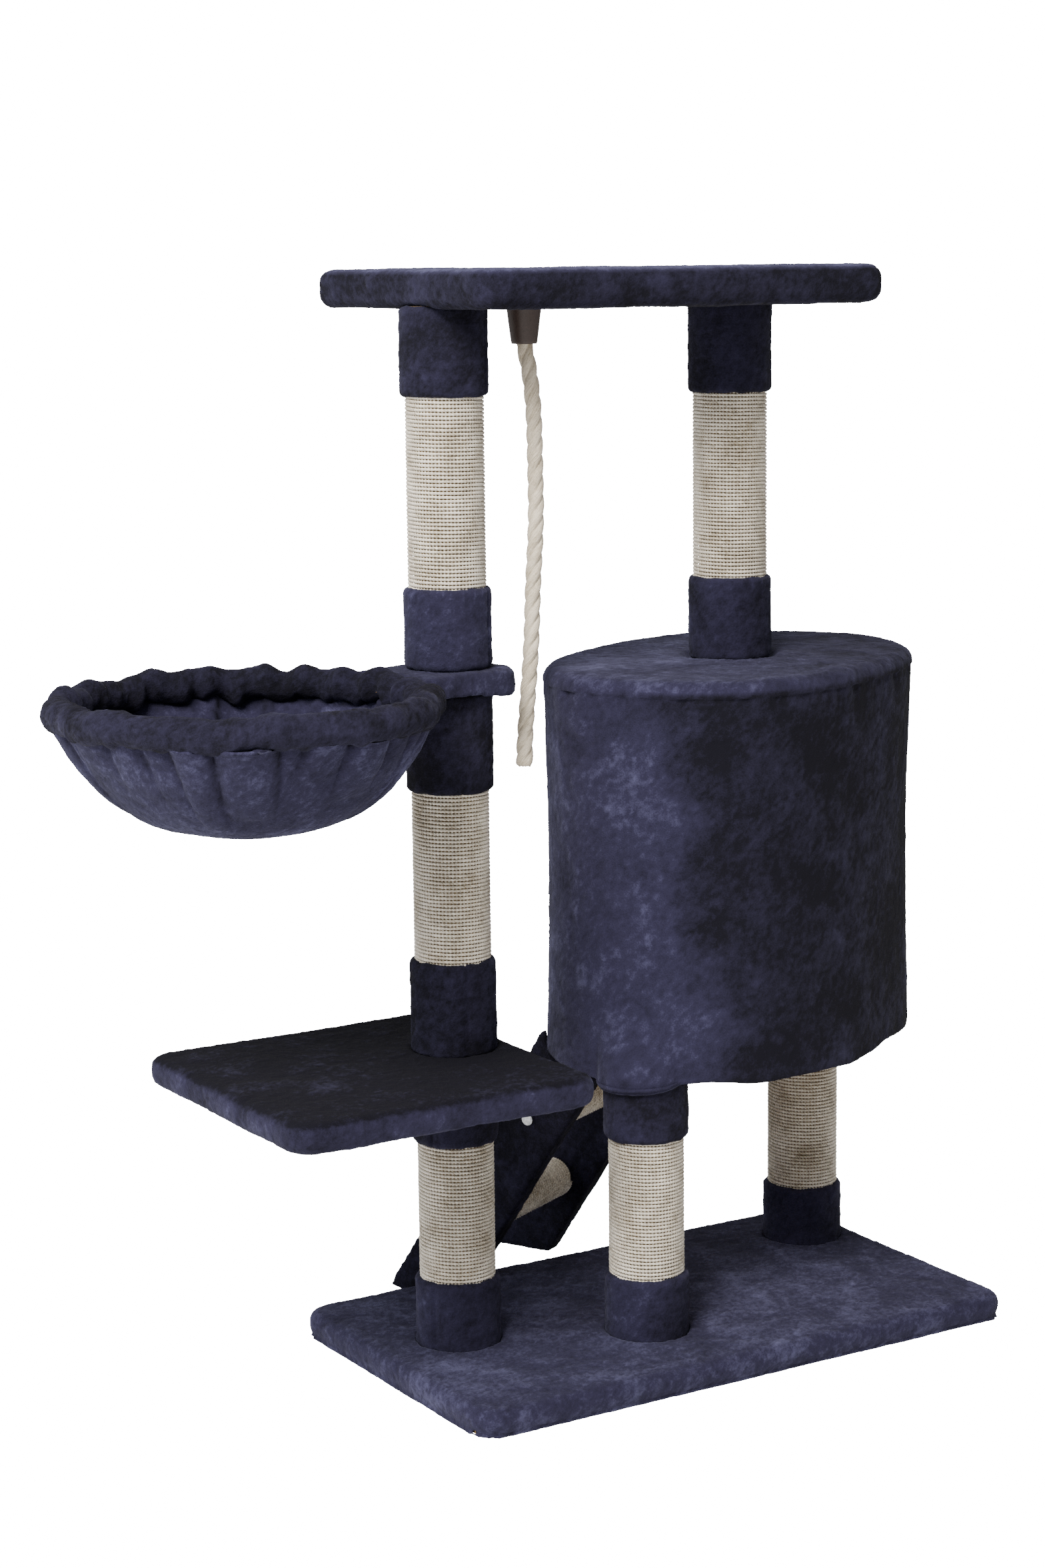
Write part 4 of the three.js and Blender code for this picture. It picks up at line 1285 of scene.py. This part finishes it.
@dataclass
class Basket:
    """The basket: a gathered plush bowl sewn into a soft roll round the wire ring, and its covered tongue."""

    around: int = 416
    folds: int = 26
    fold_depth: float = 14 * MM
    fullness: float = 3.4  # how flat the floor is before the side rises
    rear: float = 1.0  # the side of the rim away from the front, where it stands in waves
    skin: float = 3.5 * MM
    flat: float = 0.46  # the bowl's cloth laid flat, across
    loose_from: float = 42 * MM  # how far from its post the tongue's cover hangs free
    loose_over: float = 24 * MM
    end_round: float = 9 * MM
    notch: float = 3 * MM
    middle: Vector = field(default_factory=Vector)
    ring: float = 0.0
    level: float = 0.0

    def measure(self) -> None:
        """Reads the ring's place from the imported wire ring."""
        low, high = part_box("basket_ring")
        self.middle = (low + high) / 2
        self.ring = (high.x - low.x) / 2 - 3 * MM
        self.level = self.middle.z

    def ring_points(self, angle: Points, reach: Points, z: Points) -> Points:
        """Points at angles round the basket's middle, at a reach and a height."""
        x, y = self.middle.x + reach * np.cos(angle), self.middle.y + reach * np.sin(angle)
        return np.stack([x, y, z], 1)

    def roll(self) -> None:
        """Makes the rim: a plush roll that swells and dips between the stitches that gather it."""
        count, section = 400, 40
        angle = np.arange(count) * TAU / count
        back = 0.5 + 0.5 * np.cos(angle - self.rear)
        swell = 0.5 * MM * waves(angle, 5, (13, 19, 27)) + (0.3 + 0.9 * back) * MM * waves(angle, 6, (29, 37))
        rise = 1.6 * MM * waves(angle, 7, (6, 9, 14)) + 3.0 * MM * back * waves(angle, 8, (17, 22, 26))
        sway = 1.8 * MM * waves(angle, 9, (5, 8, 12))
        loops = []
        for i in range(section):
            t = TAU * i / section
            pinch = 1.5 * MM * waves(angle, 12, (41, 59)) * max(math.cos(t - math.pi * 1.3), 0)
            pinch = pinch + 2.4 * MM * waves(angle, 44, (24, 31, 37)) * max(-math.cos(t), 0)
            radius = 14.2 * MM + swell + pinch
            reach = self.ring + sway + radius * math.cos(t)
            z = self.level + rise + radius * math.sin(t) * 1.03
            loops.append(self.ring_points(angle, reach, z))
        faces = lattice(section, count, closed_rows=True)
        piece = new_object("basket_rim_plush", np.concatenate(loops), faces)
        # The rim's pile is painted darker, as painted shade.
        pile = Pile(dent=(40 * MM, 3 * MM), clump=(9 * MM, 3.0 * MM), tuft=(4.2 * MM, 1.9 * MM), lay=-0.33)
        settle(grow_pile(piece, pile), "basket", "plush", "basket_rim")

    def bowl(self) -> None:
        """Makes the bowl: a sheet gathered at the rim, whose folds run down and fade towards the floor."""
        low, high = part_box("basket_bowl")
        radius, top = (high.x - low.x) / 2, self.level - 11 * MM
        depth, count, steps = top - low.z, self.around, 76
        angle = np.arange(count) * TAU / count
        dice = np.random.default_rng(21)
        folds = self.folds
        places = (np.arange(folds) + dice.uniform(-0.3, 0.3, folds)) * TAU / folds
        deep, long = dice.uniform(0.45, 1.0, folds), dice.uniform(0.25, 0.7, folds)
        slant = dice.uniform(-0.16, 0.16, folds)
        fine = waves(angle, 33, (61, 79))
        rows, light_and_shade = [], []
        for i in range(steps, 0, -1):
            share = i / steps
            reach = radius * math.sin(math.pi / 2 * share)
            level = top - depth * (1 - (reach / radius) ** self.fullness)
            steep = depth * self.fullness * (reach / radius) ** (self.fullness - 1) / radius
            heights = deep * np.clip((share + long - 1) / long, 0, 1) ** 0.7
            puff, crease = self.lobes(angle, places + slant * (1 - share), heights)
            push = self.fold_depth * (puff - 0.62 * float(np.mean(heights)))
            push += 0.7 * MM * fine * max(share * 10 - 9, 0)
            push += 2.0 * MM * waves(angle, 31, (3, 5)) * share - 1.0 * MM
            out = reach + push * steep / math.hypot(1, steep)
            rows.append(self.ring_points(angle, out, level - push / math.hypot(1, steep)))
            # Painted shade in the folds' creases, as the lay.
            light_and_shade.append(0.05 - 0.6 * crease)
        points = np.concatenate(rows + [np.array([[self.middle.x, self.middle.y, low.z + 1 * MM]])])
        faces = [tuple(reversed(f)) for f in lattice(len(rows), count)]
        last, pole = (len(rows) - 1) * count, len(points) - 1
        faces += [(last + (j + 1) % count, last + j, pole) for j in range(count)]
        piece = new_object("basket_bowl_plush", points, faces)
        paint_light_and_shade(piece, np.append(np.concatenate(light_and_shade), 0.0))
        thick = piece.modifiers.new("skin", "SOLIDIFY")
        thick.thickness, thick.offset = self.skin, -1
        applied(piece)
        settle(grow_pile(piece, Pile(dent=(60 * MM, 3 * MM), clump=(10 * MM, 1.6 * MM))), "basket", "plush",
               "basket_bowl")

    def lobes(self, angle: Points, edges: Points, heights: Points) -> tuple[Points, Points]:
        """Round lobes between sharp creases.

        Args:
            angle: Angles to give heights for.
            edges: Angles of the creases, in order.
            heights: Height of the lobe after each crease, from 0 to 1.

        Returns:
            The height at each angle, and how deep in a crease it is, from 0 to 1.
        """
        turn = (angle - edges[0]) % TAU
        starts = edges - edges[0]
        number = np.searchsorted(starts, turn, side="right") - 1
        ends = np.append(starts[1:], TAU)
        width = ends[number] - starts[number]
        place = 2 * (turn - starts[number]) / width - 1
        wide = np.minimum(width / (TAU / len(edges)), 1.3)
        crease = np.clip((np.abs(place) - 0.66) / 0.34, 0, 1) ** 1.5 * heights[number]
        return np.sqrt(np.clip(1 - place ** 2, 0, 1)) * heights[number] * wide, crease

    def tongue(self) -> None:
        """Makes the tongue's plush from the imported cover, softened and raised."""
        node = "basket_tongue_cover"
        piece = even(merged_copy(node, "basket_tongue_plush"), 2.4 * MM, 6)
        self.round_end(piece)
        pile = Pile(dent=(45 * MM, 2.5 * MM), clump=(10 * MM, 2 * MM))
        settle(grow_pile(piece, pile), "basket", "plush", node)

    def round_end(self, piece: bpy.types.Object) -> None:
        """Rounds the tongue's free end, lets its cover sag below and notches it.

        Args:
            piece: The tongue's plush.
        """
        foot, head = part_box("basket_stud")
        post = (foot + head) / 2
        forward = Vector((post.x - self.middle.x, post.y - self.middle.y, 0)).normalized()
        points = vertices(piece)
        flat = points[:, :2] - (post.x, post.y)
        along, across = flat @ np.array(forward[:2]), flat @ np.array((-forward.y, forward.x))
        gone = np.hypot(*flat.T)
        loose = np.clip((gone - self.loose_from) / self.loose_over, 0, 1) * (along > 0)
        end = np.clip((gone[along > 0].max() - gone) / self.end_round, 0, 1)
        middle = (points[:, 2].min() + points[:, 2].max()) / 2
        thick = np.where(along > 0, np.sqrt(1 - (1 - end) ** 2), 1)
        points[:, 2] = middle + (points[:, 2] - middle) * (0.3 + 0.7 * thick)
        under = np.clip((middle + 6 * MM - points[:, 2]) / (12 * MM), 0, 1)
        points[:, 2] -= loose * under * (3 * MM + 7 * MM * np.clip((15 * MM - across) / (45 * MM), 0, 1))
        notch = loose * self.notch * np.exp(-((across - 8 * MM) / (12 * MM)) ** 2)
        points[:, :2] -= np.outer(notch, forward[:2])
        set_vertices(piece, points)

    def build(self) -> None:
        """Makes the roll, the bowl and the tongue."""
        self.measure()
        self.roll()
        self.bowl()
        self.tongue()


# ---------------------------------------------------------------- rope toy


@dataclass
class RopeToy:
    """The rope toy: a moulded cup under the top platform and a hanging three-strand rope."""

    sway: tuple[float, float] = (0.852, -0.523)
    radius: float = 7.5 * MM
    lay: float = 54 * MM
    step: float = 1.6 * MM
    section: int = 36
    # Sideways sway and height of the rope's middle line, from its top down, in millimetres.
    route: tuple[tuple[float, float], ...] = (
        (0, 954.3), (0.5, 948), (2.4, 938), (5, 922), (7.2, 900), (8.4, 875), (8.7, 850), (9, 825),
        (9.1, 800), (8, 770), (6.3, 742), (5, 716), (4.1, 690), (2.2, 658), (-0.4, 626), (-2.9, 595),
        (-3.8, 576), (-4.2, 562))

    def path(self) -> Points:
        """The rope's middle line, finely stepped.

        Returns:
            Its points, from the top down.
        """
        low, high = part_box("rope_knot")
        x, y = (low.x + high.x) / 2, (low.y + high.y) / 2
        points = np.array([(x + s * MM * self.sway[0], y + s * MM * self.sway[1], z * MM)
                           for s, z in self.route])
        return smooth_line(points, self.step)

    def rope(self) -> None:
        """Makes the rope: three strands laid round each other, with a frayed lower end."""
        line = self.path()
        ahead = np.gradient(line, axis=0)
        ahead /= np.linalg.norm(ahead, axis=1)[:, None]
        side = np.cross(ahead, (0.0, 1.0, 0.0))
        side /= np.linalg.norm(side, axis=1)[:, None]
        back = np.cross(ahead, side)
        run = np.concatenate([[0], np.cumsum(np.linalg.norm(np.diff(line, axis=0), axis=1))])
        phi = np.arange(self.section) * TAU / self.section
        loops = []
        for i in range(len(line)):
            lobe = np.abs(np.cos(1.5 * phi))
            yarns = 0.03 * np.cos(18 * phi + run[i] / self.lay * TAU * 9)
            left = (run[-1] - run[i]) / (14 * MM)
            flare = 1 + 0.13 * math.exp(-left) - 0.30 * math.exp(-left * 9)
            r = self.radius * (0.70 + 0.32 * lobe ** 0.55 + yarns) * flare
            turn = phi + run[i] / self.lay * TAU
            ring = line[i] + (np.cos(turn) * r)[:, None] * side[i] + (np.sin(turn) * r)[:, None] * back[i]
            if i == len(line) - 1:
                dice = np.random.default_rng(4)
                ring = ring + dice.uniform(-1, 1, ring.shape) * 0.8 * MM
            loops.append(ring)
        loops.reverse()
        piece = loft("rope_twisted", loops)
        piece.data.polygons.foreach_set("use_smooth", [True] * len(piece.data.polygons))
        piece.data.materials.append(ROPE)
        yarn = piece.data.attributes.new("yarn", "FLOAT_VECTOR", "POINT")
        count = self.section
        along = np.repeat(run[::-1], count)
        strand = np.tile(np.arange(count), len(line))
        values = np.stack([along * 110, strand * 0.9, np.zeros(len(along))], 1)
        yarn.data.foreach_set("vector", values.ravel())
        settle(piece, "rope_toy", "rope_sisal", "rope")

    def cup(self) -> None:
        """Makes the cup: a tapered moulding with softened rims, open below."""
        low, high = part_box("rope_cup")
        x, y = (low.x + high.x) / 2, (low.y + high.y) / 2
        top, mouth, wall = half_width("rope_cup"), 11.8 * MM, 2 * MM
        z0, z1 = low.z, high.z
        inner = mouth - wall
        profile = [(inner, z0 + 0.4 * MM), (inner + 0.5 * MM, z0), (mouth - 0.6 * MM, z0),
                   (mouth, z0 + 0.6 * MM)]
        profile += [(mouth + (top - mouth) * t ** 0.9, z0 + (z1 - z0) * t)
                    for t in np.linspace(0.08, 0.94, 10)]
        profile += [(top, z1 - 0.8 * MM), (top - 0.8 * MM, z1), (0.3 * MM, z1), (0.3 * MM, z0 + 13 * MM)]
        profile += [(inner * math.sin(a), z0 + 3 * MM + inner * math.cos(a))
                    for a in np.linspace(0.12, math.pi / 2, 7)]
        piece = turned("rope_cup_moulding", profile, 72, x, y)
        piece.data.polygons.foreach_set("use_smooth", [True] * len(piece.data.polygons))
        piece.data.materials.append(CUP)
        settle(piece, "stand", "cup_plastic", "rope_cup")

    def build(self) -> None:
        """Makes the cup and the rope."""
        self.cup()
        self.rope()


def smooth_line(points: Points, step: float) -> Points:
    """A Catmull-Rom curve through points, evenly stepped.

    Args:
        points: The points to pass through.
        step: Distance between the curve's own points.

    Returns:
        The curve's points.
    """
    ends = np.concatenate([[2 * points[0] - points[1]], points, [2 * points[-1] - points[-2]]])
    t = np.linspace(0, 1, 24, endpoint=False)[:, None]
    parts = []
    for a, b, c, d in zip(ends, ends[1:], ends[2:], ends[3:]):
        parts.append(0.5 * (2 * b + (c - a) * t + (2 * a - 5 * b + 4 * c - d) * t ** 2
                            + (3 * b - a - 3 * c + d) * t ** 3))
    fine = np.concatenate(parts + [points[-1:]])
    run = np.concatenate([[0], np.cumsum(np.linalg.norm(np.diff(fine, axis=0), axis=1))])
    at = np.linspace(0, run[-1], max(round(run[-1] / step), 2) + 1)
    return np.stack([np.interp(at, run, fine[:, k]) for k in range(3)], 1)


# ---------------------------------------------------------------- hardware, studio and camera


class Hardware(Enum):
    """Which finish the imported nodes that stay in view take, by how their names start or end."""

    STEEL = ("bolt", "stud", "basket_ring")
    BOARD = ("_board", "house_floor", "house_roof", "basket_tongue")
    CARD = ("_tube", "house_wall")
    TWINE = ("rope_knot",)


def dress_hardware() -> None:
    """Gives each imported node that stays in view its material."""
    finishes = {Hardware.STEEL: ZINC, Hardware.BOARD: CHIPBOARD, Hardware.CARD: CARDBOARD,
                Hardware.TWINE: ROPE}
    for name, node in NODES.items():
        for kind, finish in finishes.items():
            if any(word in name for word in kind.value):
                node.data.materials.clear()
                node.data.materials.append(finish)


@dataclass
class Studio:
    """A plain pale floor, soft light from the left and the camera."""

    place: tuple[float, float, float] = (-1.6201, -2.4023, 1.0272)
    forward: tuple[float, float, float] = (0.51574, 0.84032, -0.16695)
    roll: float = -0.01143
    focal: float = 4643.4 * 36 / 2353
    reach: float = 12.0
    sky: float = 0.45
    backdrop: float = 24.0
    floor_glow: float = 22.0
    key: float = 260.0
    fill: float = 40.0

    def camera(self) -> None:
        """Makes the camera."""
        data = bpy.data.cameras.new("camera")
        data.lens, data.sensor_width, data.sensor_fit = self.focal, 36, "AUTO"
        data.clip_start, data.clip_end = 0.05, 60
        ahead = Vector(self.forward).normalized()
        right = ahead.cross(Vector((0, 0, 1))).normalized()
        up = right.cross(ahead)
        c, s = math.cos(self.roll), math.sin(self.roll)
        x, y = c * right + s * up, -s * right + c * up
        made = bpy.data.objects.new("camera", data)
        made.matrix_world = Matrix.Translation(self.place) @ Matrix((x, y, -ahead)).transposed().to_4x4()
        bpy.context.scene.collection.objects.link(made)
        bpy.context.scene.camera = made

    def lamp(self, name: str, place: tuple[float, float, float], size: float, power: float,
             color: str) -> None:
        """Makes a square soft light aimed at the middle of the tree.

        Args:
            name: The lamp's name.
            place: Where it stands.
            size: Its width.
            power: Its power in watts.
            color: Its colour.
        """
        data = bpy.data.lights.new(name, "AREA")
        data.shape, data.size, data.energy, data.color = "SQUARE", size, power, linear(color)[:3]
        made = bpy.data.objects.new(name, data)
        aim = Vector((-0.05, 0.0, 0.5)) - Vector(place)
        made.matrix_world = Matrix.Translation(place) @ aim.to_track_quat("-Z", "Y").to_matrix().to_4x4()
        bpy.context.scene.collection.objects.link(made)

    def build(self) -> None:
        """Makes the floor, the sky, the lamps and the camera."""
        corners = np.array([(-1, -1, 0), (1, -1, 0), (1, 1, 0), (-1, 1, 0)]) * self.reach
        floor = new_object("studio_floor", corners, [(0, 1, 2, 3)])
        paint, tree, surface = blank("studio_floor_paint")
        seen = add(tree, "ShaderNodeLightPath").outputs["Is Camera Ray"]
        glow = add(tree, "ShaderNodeMath", {0: seen, 1: self.floor_glow}, operation="MULTIPLY")
        tree.links.new(glow.outputs[0], surface.inputs["Emission Strength"])
        surface.inputs["Emission Color"].default_value = linear("#ffffff")
        surface.inputs["Base Color"].default_value = linear("#f6f6f6")
        surface.inputs["Roughness"].default_value = 0.9
        floor.data.materials.append(paint)
        world = bpy.data.worlds.new("studio")
        world.use_nodes = True
        bpy.context.scene.world = world
        tree = world.node_tree
        sky = tree.nodes["Background"]
        seen = add(tree, "ShaderNodeLightPath").outputs["Is Camera Ray"]
        level = add(tree, "ShaderNodeMapRange", {0: seen, 3: self.sky, 4: self.backdrop})
        tree.links.new(level.outputs[0], sky.inputs["Strength"])
        sky.inputs["Color"].default_value = linear("#ffffff")
        self.lamp("key", (-2.3, -1.7, 3.0), 1.5, self.key, "#fffaf4")
        self.lamp("fill", (-3.2, 0.6, 1.2), 1.6, self.fill, "#f6f8ff")
        self.camera()


def main() -> None:
    """Builds the studio, then each sub-assembly in order."""
    studio = Studio()
    studio.build()
    RopeToy().build()
    # Painted light on the base and on the top platform's top; painted shade on the shelf and on the top
    # platform's sides.
    boards = [
        CoveredBoard("base", 4.5 * MM, below=False, edge=10 * MM, lay=0.1, side_light_and_shade=0.1,
                     posts=("left_low_post_cuff_lower", "center_post_cuff_lower", "right_post_cuff_lower")),
        CoveredBoard("shelf", 1.0 * MM, lay=-0.54, side_light_and_shade=-0.1,
                     posts=("left_low_post_cuff_upper", "left_mid_post_cuff_lower")),
        CoveredBoard("top", 0.5 * MM, edge=12 * MM, lay=0.34, side_light_and_shade=-0.35,
                     posts=("left_high_post_cuff_upper", "rear_post_cuff_upper")),
    ]
    for board in boards:
        board.build()
    # Painted shade on the posts' cuffs, set for each lower and upper cuff.
    light_and_shade = {"left_low_post": (-0.05, -0.3), "left_mid_post": (-0.3, -0.4), "left_high_post": (0.0, -0.32),
            "center_post": (-0.12, -0.3), "right_post": (-0.08, -0.2), "rear_post": (-0.2, -0.27)}
    for number, (name, pair) in enumerate(light_and_shade.items()):
        Post(name, seed=3 + 7 * number, seam=3.6 + 0.9 * number, light_and_shade=pair).build()
    House().build()
    Ladder().build()
    Basket().build()
    dress_hardware()


if __name__ == "__main__":
    main()
